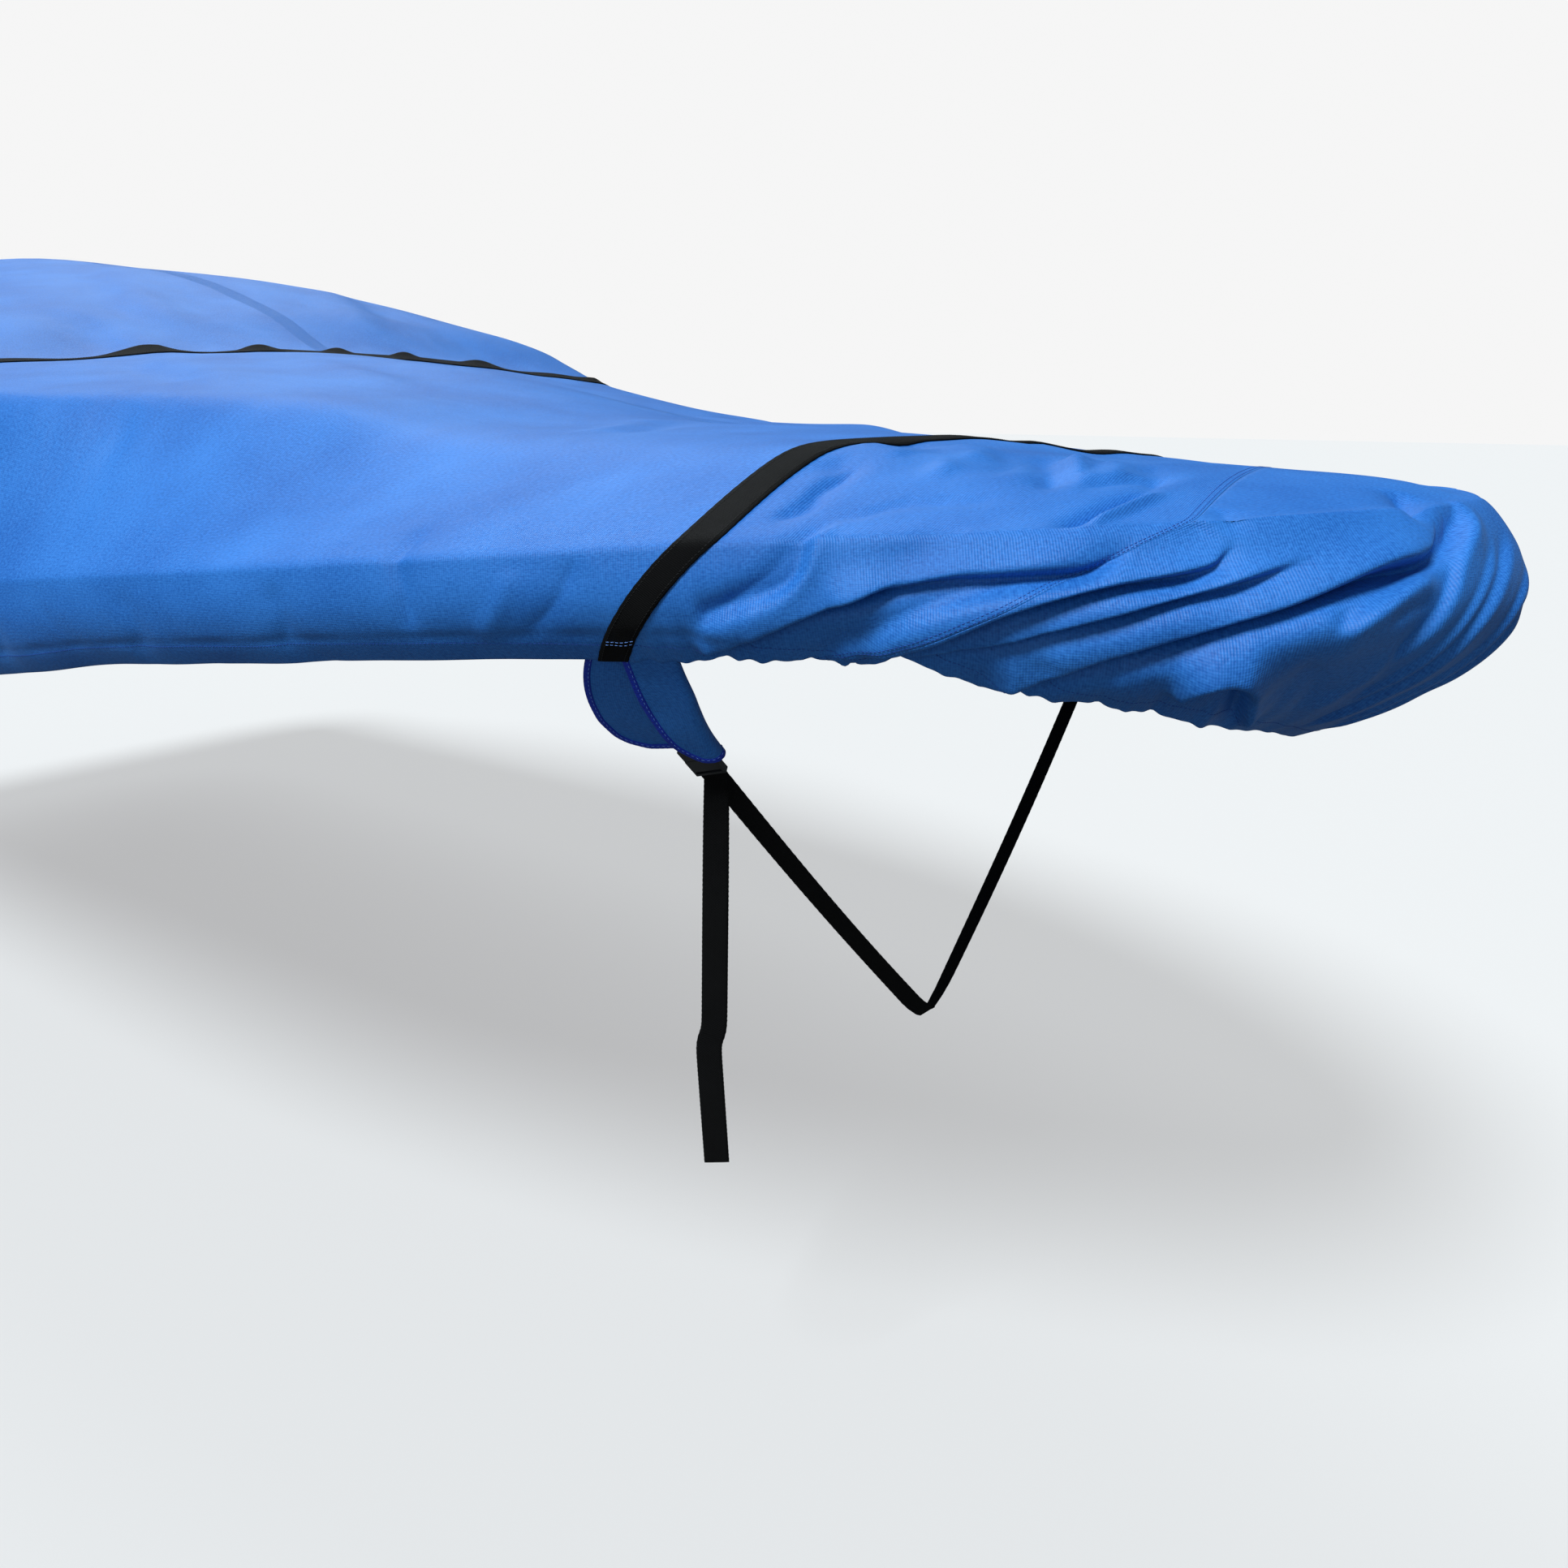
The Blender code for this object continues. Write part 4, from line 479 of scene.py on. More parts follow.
def grid_foot(s):
    start = BOW_STRAP_STATION - SEWN_WEB_WIDTH / 2
    bow = np.maximum(0, (start - s) / (start - SEAM_STATION))
    stern = np.maximum(0, (s - STERN_FOOT_START) / (COVER_LENGTH - STERN_FOOT_START))
    return s + (SEAM_FOOT - SEAM_STATION) * bow ** 2 - STERN_FOOT_SHIFT * stern ** 2


def smooth_route(places, count):
    """A smooth curve through places, as count points."""
    places = np.array(places, float)
    knots = run_along(places)
    t = np.linspace(0, knots[-1], count)
    if len(places) == 2:
        return sample(places, knots, t)
    extended = np.vstack([2 * places[0] - places[1], places, 2 * places[-1] - places[-2]])
    k = np.clip(np.searchsorted(knots, t, side="right") - 1, 0, len(places) - 2)
    u = ((t - knots[k]) / (knots[k + 1] - knots[k]))[:, None]
    p0, p1, p2, p3 = extended[k], extended[k + 1], extended[k + 2], extended[k + 3]
    return 0.5 * (2 * p1 + (p2 - p0) * u + (2 * p0 - 5 * p1 + 4 * p2 - p3) * u ** 2
                  + (3 * p1 - p0 - 3 * p2 + p3) * u ** 3)


def near_curve(route, a, d, margin):
    """Places near a route: their indices, distance (positive below), share along it, way downhill."""
    low, high = route.min(axis=0) - margin, route.max(axis=0) + margin
    picked = np.nonzero((a > low[0]) & (a < high[0]) & (d > low[1]) & (d < high[1]))[0]
    if not len(picked):
        return None
    offset = np.stack([a[picked], d[picked]], -1)[:, None] - route[None]
    best = (offset ** 2).sum(axis=2).argmin(axis=1)
    tangent = np.gradient(route, axis=0)
    step = np.linalg.norm(tangent, axis=1)
    tangent = tangent / step[:, None] * (1 if route[-1, 0] >= route[0, 0] else -1)
    offset = offset[np.arange(len(picked)), best]
    near = tangent[best]
    below = near[:, 0] * offset[:, 1] - near[:, 1] * offset[:, 0]
    along = (near * offset).sum(axis=1)
    ahead = along / step[best] * (1 if route[-1, 0] >= route[0, 0] else -1)
    share = np.clip((best + ahead) / (len(route) - 1), 0, 1)
    return picked, below, share, np.stack([-near[:, 1], near[:, 0]], -1)


def ends_fade(share, over, start=None):
    """Grows smoothly from nothing at each end of a curve, over a share of its length."""
    left = np.clip(np.minimum(share / (start or over), (1 - share) / over), 0, 1)
    return left * left * (3 - 2 * left)


def fold_route(a0, d0, a1, d1, a2, d2):
    """A fold's curve, through its three places."""
    ends = np.array(((a0, d0), (a2, d2)))
    control = 2 * np.array((a1, d1)) - ends.mean(axis=0)
    t = np.linspace(0, 1, CURVE_SAMPLES)[:, None]
    return (1 - t) ** 2 * ends[0] + 2 * t * (1 - t) * control + t * t * ends[1]


def add_folds(a, d, height):
    for *places, width, depth in FOLDS:
        found = near_curve(fold_route(*places), a, d, 3 * width)
        if found:
            picked, off, share, _ = found
            height[picked] -= FOLD_KEPT * depth * np.exp(-(off / width) ** 2) * ends_fade(share, FOLD_FADE)


def add_creases(a, d, height):
    for rise, above, below, *places in CREASES:
        found = near_curve(smooth_route(places, CURVE_SAMPLES), a, d, 3 * max(above, below))
        if found:
            picked, off, share, _ = found
            reach = np.abs(off) / np.where(off < 0, above, below)
            power = RIDGE_POWER if rise > 0 else VALLEY_POWER
            height[picked] += rise * np.exp(-reach ** power) * ends_fade(share, CREASE_FADE)


def add_pleats(a, d, height, shift):
    for upper, lower, lap, above, below, *places in PLEATS:
        found = near_curve(smooth_route(places, CURVE_SAMPLES), a, d, 3 * max(above, below))
        if found:
            picked, off, share, downhill = found
            fade = PLEAT_DEPTH * ends_fade(share, PLEAT_END, PLEAT_START)
            over = 0.5 * (1 - np.tanh(off / (PLEAT_CORE if lap > 0 else SOFT_CORE)))
            top = over * np.exp(-(np.minimum(off, 0) / above) ** 2)
            under = (1 - over) * np.exp(-(np.maximum(off, 0) / below) ** PLEAT_RUN_OUT)
            height[picked] += (upper * top + lower * under) * fade
            shift[picked] += downhill * (lap * (top - LAP_BACK * under) * fade)[:, None]


def add_gathers(a, q, height, shift):
    for a0, a1, waves, swell, power in GATHERS:
        picked = np.nonzero((a > a0) & (a < a1) & (q > 0))[0]
        share, down = (a[picked] - a0) / (a1 - a0), q[picked]
        drift = 0.6 * np.sin(5 * share + a0) + 0.25 * np.sin(11 * share + 3 * a0)
        phase = 0.55 * math.pi * waves * share + drift + GATHER_LEAN * (1 - down)
        wave = GATHER_CREST * np.abs(np.cos(phase)) ** GATHER_ROUND - GATHER_SINK
        uneven = 0.6 + 0.4 * np.sin(23 * share + 9 * a0)
        lobe = GATHER_SWELL * swell * ends_fade(share, GATHER_FADE) * uneven * wave
        height[picked] += lobe * down ** (GATHER_RISE * power)
        shift[picked, 1] += GATHER_HANG * lobe * down ** (3 * power)


def relief(a, d, q):
    """Every fold, pleat and gather: outward height, and shift along a and d, at places of the cloth."""
    height, shift = np.zeros(a.size), np.zeros((a.size, 2))
    add_folds(a, d, height)
    add_creases(a, d, height)
    add_pleats(a, d, height, shift)
    add_gathers(a, q, height, shift)
    to_close = np.clip((A_END - np.abs(a)) / CLOSING, 0, 1)
    height += (UNDULATION * to_close * np.sin(9.0 * a + 2.0 * np.sin(7.0 * d))
               * np.sin(11.0 * d + 1.7 * np.sin(4.0 * a)))
    to_stitch = (1 - q) * SKIRT_REACH - HEM_DEPTH
    pull = STITCH_PULL * (1 + 0.5 * to_close * np.sin(60 * a + 2 * np.sin(19 * a)))
    height -= pull * np.exp(-(to_stitch / STITCH_DIMPLE) ** 2)
    bow = np.clip((HEM_EASE_END - np.abs(a)) / HEM_EASE_FADE, 0, 1)
    height += HEM_EASE * bow * np.clip((q - HEM_EASE_FROM) / HEM_EASE_GROW, 0, 1) ** 2
    return height, shift


# ---------------------------------------------------------------- meshes
def grid_normals(points):
    """Unit normals of a grid of points, by differences along its two directions."""
    return unit(np.cross(np.gradient(points, axis=0), np.gradient(points, axis=1)))


def grid_cells(rows, across, wrap=False):
    i, j = np.meshgrid(np.arange(rows - 1), np.arange(across - (0 if wrap else 1)), indexing="ij")
    here, beside = i * across + j, i * across + (j + 1) % across
    return np.stack([here, here + across, beside + across, beside], -1).reshape(-1, 4)


def mesh_piece(name, points, cells, material, uv=None, merge=None):
    """A mesh object from points and faces, with a UV of metres where given. With merge, an open sheet."""
    mesh = bpy.data.meshes.new(name)
    mesh.from_pydata(np.asarray(points).reshape(-1, 3).tolist(), [], [list(map(int, c)) for c in cells])
    if uv is not None:
        layer = mesh.uv_layers.new(name="metres")
        loops = np.empty(len(mesh.loops), dtype=np.int32)
        mesh.loops.foreach_get("vertex_index", loops)
        layer.data.foreach_set("uv", np.asarray(uv, dtype=np.float32).reshape(-1, 2)[loops].ravel())
    build = bmesh.new()
    build.from_mesh(mesh)
    if merge:
        bmesh.ops.remove_doubles(build, verts=build.verts, dist=merge)
    else:
        bmesh.ops.recalc_face_normals(build, faces=build.faces)
    build.to_mesh(mesh)
    build.free()
    mesh.polygons.foreach_set("use_smooth", [True] * len(mesh.polygons))
    mesh.materials.append(material)
    mesh.update()
    piece = bpy.data.objects.new(name, mesh)
    bpy.context.scene.collection.objects.link(piece)
    return piece


def tag(piece, node=None):
    """What a piece rides on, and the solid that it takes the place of."""
    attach(piece, "root")
    if node:
        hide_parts(node)
    return piece


def strip_piece(name, rings, run, span, material):
    """A closed strip of rings, with its UV: the run along it and the span round a ring."""
    count, size = rings.shape[:2]
    cells = grid_cells(count, size, wrap=True).tolist()
    cells += [tuple(range(size)), tuple(range(count * size - 1, (count - 1) * size - 1, -1))]
    uv = np.stack([np.repeat(run, size), np.tile(span, count)], -1)
    return mesh_piece(name, to_world(rings), cells, material, uv)


def lifted(route, facing, height=THREAD_LIFT):
    """A row of stitches: its route, a little off the surface, and its way up, in the world."""
    facing = unit(facing)
    return to_world(route + facing * height), to_world(route + facing) - to_world(route)


def stitches(name, rows, kind, material):
    """Short raised threads along rows made by lifted."""
    pitch, length, radius = kind
    points, cells = [], []
    for route, normal in rows:
        knots = run_along(route)
        for start in np.arange(0.4 * pitch, knots[-1] - length, pitch):
            base = len(points)
            for share, lift, wide in STITCH_SHAPE:
                t = start + length * share
                place, up = sample(route, knots, t), unit(sample(normal, knots, t))
                ahead = sample(route, knots, t + 1e-3) - place
                if np.linalg.norm(ahead) < 1e-9:
                    ahead = place - sample(route, knots, t - 1e-3)
                side = unit(np.cross(up, ahead))
                middle = place + up * radius * lift
                for x, y in ((-1, 0), (0, 1), (1, 0), (0, -1)):
                    points.append(middle + side * radius * wide * x + up * radius * wide * y * 0.8)
            for k in (base, base + 4, base + 8):
                cells += [(k + j, k + (j + 1) % 4, k + 4 + (j + 1) % 4, k + 4 + j) for j in range(4)]
    tag(mesh_piece(name, points, cells, material))


# ---------------------------------------------------------------- materials
def nodes_of(name, colour, roughness):
    material = bpy.data.materials.new(name)
    material.use_nodes = True
    tree = material.node_tree
    shader = tree.nodes["Principled BSDF"]
    shader.inputs["Base Color"].default_value = (*colour, 1)
    shader.inputs["Roughness"].default_value = roughness
    shader.inputs["Metallic"].default_value = 0.0
    return material, tree, shader


def new(tree, kind, **settings):
    node = tree.nodes.new(kind)
    for key, value in settings.items():
        setattr(node, key, value)
    return node


def math_node(tree, operation, first, second=None):
    node = new(tree, "ShaderNodeMath", operation=operation)
    for socket, value in zip(node.inputs, (first, second)):
        if value is None:
            continue
        if hasattr(value, "links"):
            tree.links.new(value, socket)
        else:
            socket.default_value = value
    return node.outputs[0]


def metres(tree):
    """The cloth's own coordinates, in metres, as two outputs."""
    source = new(tree, "ShaderNodeUVMap", uv_map="metres")
    split = new(tree, "ShaderNodeSeparateXYZ")
    tree.links.new(source.outputs[0], split.inputs[0])
    return source.outputs[0], split.outputs[0], split.outputs[1]


def noise(tree, vector, scale, detail=2.0, stretch=None):
    if stretch is not None:
        mapping = new(tree, "ShaderNodeMapping")
        mapping.inputs["Scale"].default_value = stretch
        tree.links.new(vector, mapping.inputs[0])
        vector = mapping.outputs[0]
    node = new(tree, "ShaderNodeTexNoise")
    node.inputs["Scale"].default_value = scale
    node.inputs["Detail"].default_value = detail
    tree.links.new(vector, node.inputs["Vector"])
    return node.outputs[0]


def ramp(tree, value, stops):
    node = new(tree, "ShaderNodeValToRGB")
    while len(node.color_ramp.elements) < len(stops):
        node.color_ramp.elements.new(0.5)
    for element, (place, colour) in zip(node.color_ramp.elements, stops):
        element.position = place
        element.color = (*colour, 1)
    tree.links.new(value, node.inputs[0])
    return node.outputs[0]


def bump(tree, shader, *layers):
    """Chained bumps: each layer is height output, strength and distance in metres."""
    previous = None
    for height, strength, distance in layers:
        node = new(tree, "ShaderNodeBump")
        node.inputs["Strength"].default_value = strength
        node.inputs["Distance"].default_value = distance
        tree.links.new(height, node.inputs["Height"])
        if previous is not None:
            tree.links.new(previous, node.inputs["Normal"])
        previous = node.outputs[0]
    tree.links.new(previous, shader.inputs["Normal"])


def wave_of(tree, coordinate, pitch):
    """A sine of a coordinate in metres, with the given pitch."""
    return math_node(tree, "SINE", math_node(tree, "MULTIPLY", coordinate, 2 * math.pi / pitch))


def cloth_material(name, dark, light, rib_pitch=0.0026):
    """Plain-woven polyester with a fine rib, a speckle of slubs, slight mottle and a soft sheen."""
    material, tree, shader = nodes_of(name, light, 0.50)
    vector, u, v = metres(tree)
    rib = wave_of(tree, u, rib_pitch)
    weft = wave_of(tree, v, rib_pitch * 0.5)
    weave = math_node(tree, "ADD", rib, math_node(tree, "MULTIPLY", weft, 0.4))
    mottle = noise(tree, vector, 7.0, 4.0)
    speckle = noise(tree, vector, 230.0, 2.0, (1.0, 2.2, 1.0))
    slubs = math_node(tree, "MULTIPLY", speckle, 0.55)
    both = math_node(tree, "ADD", math_node(tree, "MULTIPLY", mottle, 0.45), slubs)
    shade = math_node(tree, "ADD", both, math_node(tree, "MULTIPLY", weave, 0.035))
    tree.links.new(ramp(tree, shade, ((0.34, dark), (0.62, light))), shader.inputs["Base Color"])
    rumple = noise(tree, vector, 26.0, 3.0)
    bump(tree, shader, (rumple, 0.45, 0.0035), (speckle, 0.30, 0.0006), (weave, 0.35, 0.00035))
    shader.inputs["Sheen Weight"].default_value = 0.06
    shader.inputs["Sheen Roughness"].default_value = 0.35
    shader.inputs["Sheen Tint"].default_value = (0.45, 0.72, 1.0, 1)
    shader.inputs["Specular IOR Level"].default_value = 0.24
    return material


def web_material(name, base, light, pitch=0.0019):
    """Black woven webbing: ribs across, fine threads along, worn a little grey."""
    material, tree, shader = nodes_of(name, base, 0.70)
    vector, u, v = metres(tree)
    cross = wave_of(tree, u, pitch)
    along = wave_of(tree, v, pitch * 1.7)
    weave = math_node(tree, "MULTIPLY", cross, along)
    fuzz = noise(tree, vector, 420.0, 2.0)
    worn = noise(tree, vector, 22.0, 3.0)
    fine = math_node(tree, "MULTIPLY", fuzz, 0.4)
    shade = math_node(tree, "ADD", math_node(tree, "MULTIPLY", worn, 0.5), fine)
    tree.links.new(ramp(tree, shade, ((0.30, base), (0.75, light))), shader.inputs["Base Color"])
    bump(tree, shader, (weave, 0.8, 0.0005), (fuzz, 0.3, 0.0003))
    shader.inputs["Sheen Weight"].default_value = 0.0
    shader.inputs["Specular IOR Level"].default_value = 0.10
    return material


def plastic_material(name, base):
    """Moulded charcoal plastic with a fine pebbled grain."""
    material, tree, shader = nodes_of(name, base, 0.42)
    place = new(tree, "ShaderNodeTexCoord").outputs["Object"]
    grain = noise(tree, place, 900.0, 2.0)
    scuff = noise(tree, place, 70.0, 4.0)
    tone = ramp(tree, scuff, ((0.35, base), (0.75, tuple(1.5 * c for c in base))))
    tree.links.new(tone, shader.inputs["Base Color"])
    rough = new(tree, "ShaderNodeMapRange")
    rough.inputs["To Min"].default_value = 0.34
    rough.inputs["To Max"].default_value = 0.58
    tree.links.new(scuff, rough.inputs["Value"])
    tree.links.new(rough.outputs[0], shader.inputs["Roughness"])
    bump(tree, shader, (grain, 0.35, 0.0002))
    return material


def thread_material(name, colour):
    material, tree, shader = nodes_of(name, colour, 0.6)
    place = new(tree, "ShaderNodeTexCoord").outputs["Object"]
    twist = noise(tree, place, 1500.0, 1.0)
    bump(tree, shader, (twist, 0.4, 0.0002))
    return material


BLUE = cloth_material("cover cloth", (0.009, 0.100, 0.400), (0.030, 0.190, 0.610))
TRIM = cloth_material("edge binding", (0.004, 0.022, 0.34), (0.010, 0.045, 0.52), 0.0018)
BLACK = web_material("black webbing", (0.0015, 0.0015, 0.0017), (0.0050, 0.0050, 0.0054))
PLASTIC = plastic_material("buckle plastic", (0.012, 0.0125, 0.014))
BLUE_THREAD = thread_material("blue thread", (0.010, 0.060, 0.36))
PALE_THREAD = thread_material("pale blue thread", (0.16, 0.34, 0.85))
BLACK_THREAD = thread_material("black thread", (0.006, 0.006, 0.007))


# ---------------------------------------------------------------- camera, first
LENS, SENSOR = 29.81, 36.0              # millimetres
CAMERA_PLACE = (-0.2596, -1.4493, 0.1303)   # s, y, z, worked out by another program
CAMERA_TILT, CAMERA_TURN = 73.4, 39.5   # degrees
camera_data = bpy.data.cameras.new("photo_camera")
camera_data.lens = LENS
camera_data.sensor_width = SENSOR
camera = bpy.data.objects.new("photo_camera", camera_data)
camera.location = to_world(CAMERA_PLACE)
camera.rotation_euler = (math.radians(CAMERA_TILT), 0, math.radians(CAMERA_TURN))
bpy.context.scene.collection.objects.link(camera)
bpy.context.scene.camera = camera


# ---------------------------------------------------------------- cords: the tie-down and its tail
def tab_place(s, z, inward):
    below = HEM_AT_TAB[2] - z
    y = HEM_AT_TAB[1] - HEM_SLOPE * (s - HEM_AT_TAB[0]) + TAB_SLOPE * below + TAB_CURVE * below * below
    normal = np.array((HEM_SLOPE, 1.0, TAB_SLOPE + 2 * TAB_CURVE * below))
    return np.array((s, y, z)) + unit(normal) * (TAB_INSET + inward)


def buckle_axes():
    origin = tab_place(BUCKLE_STATION, BUCKLE_DEPTH, TAB[-1][4])
    up = unit(origin - KEEL_POINT)
    across = unit(np.cross(BUCKLE_FACE, -up))
    return origin, across, unit(np.cross(-up, across)), up


def flat_web(name, path, across):
    """Tie-down webbing along a path, slightly thicker in its middle, with fine serrated edges."""
    along = unit(np.gradient(path, axis=0))
    wide = unit(across - along * np.sum(across * along, axis=1, keepdims=True))
    thick = np.cross(along, wide)
    run = run_along(path)
    half = TIE_WEB_WIDTH / 2 + ripple(run, *TIE_SERRATION)
    section = [(x, 0.5 * WEB * (1 - EDGE_THIN * abs(x) ** 6)) for x in np.linspace(-1, 1, WEB_CELLS + 1)]
    section += [(x, -y) for x, y in reversed(section)]
    rings = np.stack([path + wide * (half * x)[:, None] + thick * y for x, y in section], 1)
    return strip_piece(name, rings, run, [x * TIE_WEB_WIDTH / 2 for x, _ in section], BLACK)


def tie_down_route(steps):
    origin, across, face, up = buckle_axes()
    start = origin - up * (LADDER_LENGTH / 2 + TOUCH) - face * (WEB / 2 + WEB_SPREAD)
    path, wide = [], []
    for t in np.linspace(0, 1, steps):
        point = start + (KEEL_POINT - start) * t + face * TIE_BOW * math.sin(math.pi * t)
        left = max(0.0, KEEL_TURN + point[1]) / KEEL_TURN
        point[2] += KEEL_ROUND * left * left
        path.append(point)
        wide.append(unit(across * (1 - t ** 3) + KEEL_RAKE * t ** 3))
    mirror = np.array((1, -1, 1))
    path += [p * mirror for p in reversed(path[:-1])]
    wide += [w * mirror for w in reversed(wide[:-1])]
    return np.array(path), np.array(wide)


def tail_route(steps):
    origin, across, face, up = buckle_axes()
    start = origin - up * (LADDER_LENGTH / 2 + TOUCH) + face * (WEB / 2 + WEB_SPREAD)
    plumb = np.array((math.sin(BOW_UP), 0, -math.cos(BOW_UP)))
    path, wide = [], []
    for t in np.linspace(0, 1, steps):
        jog = TAIL_JOG / (1 + math.exp(-TAIL_JOG_RATE * (t - TAIL_JOG_AT)))
        sway = TAIL_LEAN * min(t / TAIL_JOG_AT, 1) + jog
        sway -= TAIL_RETURN * max(0, t - TAIL_JOG_AT) / (1 - TAIL_JOG_AT)
        lead = min(TAIL_LENGTH * t, TAIL_LEAD)
        path.append(start - up * lead + plumb * (TAIL_LENGTH * t - lead) + TAIL_ACROSS * sway)
        wide.append(unit(across * (1 - t) ** 4 + TAIL_ACROSS * (1 - (1 - t) ** 4)))
    return np.array(path), np.array(wide)


def make_cords():
    path, wide = tie_down_route(160)
    tie = tag(flat_web("tie_down_web", path, wide), "tie_down")
    float(run_along(path)[-1])
    path, wide = tail_route(240)
    tail = tag(flat_web("tail_web", path, wide), "tail_stbd")
    float(run_along(path)[-1])

make_cords()


# ---------------------------------------------------------------- the cloth
def even_route(points, step, *others):
    """A route resampled at even steps, with other arrays that belong to its points."""
    knots = run_along(points)
    t = np.linspace(0, knots[-1], max(2, int(knots[-1] / step)))
    return [sample(array, knots, t) for array in (points, *others)], t


def deck_and_skirt(a_line, feet, side, deck_rows, skirt_rows):
    """Points of one side's lines, from the foot on the top to the hem, with their coordinates."""
    s, y, _ = CREASE.at(a_line)
    left = np.linspace(1, 0, deck_rows + 1)
    g = 1 - (DECK_EVEN * left + (1 - DECK_EVEN) * left ** 2)
    flat_s = feet[:, :1] + (s[:, None] - feet[:, :1]) * g
    flat_y = feet[:, 1:] + (y[:, None] - feet[:, 1:]) * g
    deck = np.stack([flat_s, -side * flat_y, top_height(flat_s, -side * flat_y)], -1)
    length = np.hypot(s - feet[:, 0], y - feet[:, 1])
    deck_a = np.repeat(a_line[:, None], deck_rows + 1, 1)
    deck_d = -length[:, None] * (1 - g)
    q = np.linspace(0, 1, skirt_rows + 1)[1:]
    a = a_line[:, None] + SKIRTS["slant"](s)[:, None] * q ** SLANT_POWER
    place_s, place_y, outward = CREASE.at(a)
    drop = SKIRTS["drop"](place_s)
    out = SKIRTS["bulge"](place_s) * np.sin(math.pi * q) - SKIRTS["tuck"](place_s) * q ** 3
    z = top_height(place_s, place_y) - drop * q
    skirt = np.stack([place_s + outward[..., 0] * out, -side * (place_y + outward[..., 1] * out), z], -1)
    points = np.concatenate([deck, skirt], 1)
    coord_a = side * np.concatenate([deck_a, a], 1)
    coord_d = np.concatenate([deck_d, drop * q], 1)
    share = np.concatenate([np.zeros_like(deck_d), np.repeat(q[None], len(a_line), 0)], 1)
    return points, coord_a, coord_d, share


def round_crease(points, crease_column, radius):
    """Rounds the fold at the crease by averaging along the lines, most at the crease itself."""
    run = run_along(points, 1)
    away = np.abs(run - run[:, crease_column:crease_column + 1])
    most = radius.max()
    weight = (np.clip(1 - away / (3 * radius[:, None]), 0, 1) * (radius[:, None] / most) ** 2)[..., None]
    weight[:, 0], weight[:, -1] = 0, 0
    step = np.diff(run, axis=1)
    after = (step[:, :-1] / (step[:, :-1] + step[:, 1:] + 1e-9))[..., None]
    passes = int(2 * (most / np.median(step[:, crease_column])) ** 2) + 1
    for _ in range(passes):
        middle = points.copy()
        middle[:, 1:-1] = 0.5 * points[:, 1:-1] + 0.5 * ((1 - after) * points[:, :-2] + after * points[:, 2:])
        points = points + (middle - points) * weight
    return points


def spacing(start, end, steps):
    """Distances from start to end, with the step length given by distance."""
    made, here = [start], start
    while here < end:
        here += next(step for limit, step in steps if here < limit)
        made.append(min(here, end))
    if made[-1] - made[-2] < 1e-4:
        made.pop(-2)
    return np.array(made)


SEAM_BLEND, SEAM_LIP = 0.06, 0.004   # how far the cap is fitted to the body; edge turned in at the seam
BODY_STEPS = ((0.93, 0.0028), (1.30, 0.0050), (1.90, 0.0090), (2.75, 0.0130), (9.0, 0.0280))
DECK_ROWS, SKIRT_ROWS = 40, 40
CAP_LINES, CAP_DECK_ROWS, CAP_SKIRT_ROWS = 290, 50, 100
CAP_SPREAD = 1.1            # over 1 crowds the cap's lines towards the nose
BODY_SMOOTHING, CAP_SMOOTHING = 1, 2    # passes that even out the folds between grid lines
DECK_EVEN = 0.30            # share of even spacing of the deck rows; the rest crowds them to the crease
# Rounding of the fold over the gunwale, by station.
CREASE_SOFT = Smooth((0.05, 0.21, 0.32, 0.45, 0.90), (0.018, 0.012, 0.008, 0.005, 0.0035))
A_SEAM = CREASE.find(SEAM_STATION)
A_END = float(CREASE.length[-1])


def both_sides(a_line, feet, deck_rows, skirt_rows):
    """Points and coordinates a, d and q of the starboard and the port side."""
    soft = CREASE_SOFT(CREASE.at(a_line)[0])
    sides = []
    for side in (-1, 1):
        points, *coordinates = deck_and_skirt(a_line, feet, side, deck_rows, skirt_rows)
        sides.append([round_crease(points, deck_rows, soft), *coordinates])
    return sides


def body_patch():
    a_line = spacing(A_SEAM, A_END, BODY_STEPS)
    foot_s = grid_foot(CREASE.at(a_line)[0])
    starboard, port = both_sides(a_line, np.stack([foot_s, np.zeros(len(foot_s))], -1), DECK_ROWS, SKIRT_ROWS)
    return [np.concatenate([first[:, ::-1], second[:, 1:]], 1) for first, second in zip(starboard, port)]


def cap_patch():
    share = np.linspace(0, 1, CAP_LINES + 1)
    a_line = A_SEAM * (1 - share) ** CAP_SPREAD
    seam_s, seam_y, _ = CREASE.at(np.array([A_SEAM]))
    foot_s = float(grid_foot(seam_s)[0])
    feet = np.stack([seam_s[0] + (foot_s - seam_s[0]) * share, seam_y[0] * (1 - share)], -1)
    starboard, port = both_sides(a_line, feet, CAP_DECK_ROWS, CAP_SKIRT_ROWS)
    starboard[0][-1] = (starboard[0][-1] + port[0][-1]) / 2
    return [np.concatenate([first, second[-2::-1]], 0) for first, second in zip(starboard, port)]


def slopes(values):
    return np.gradient(values, axis=0), np.gradient(values, axis=1)


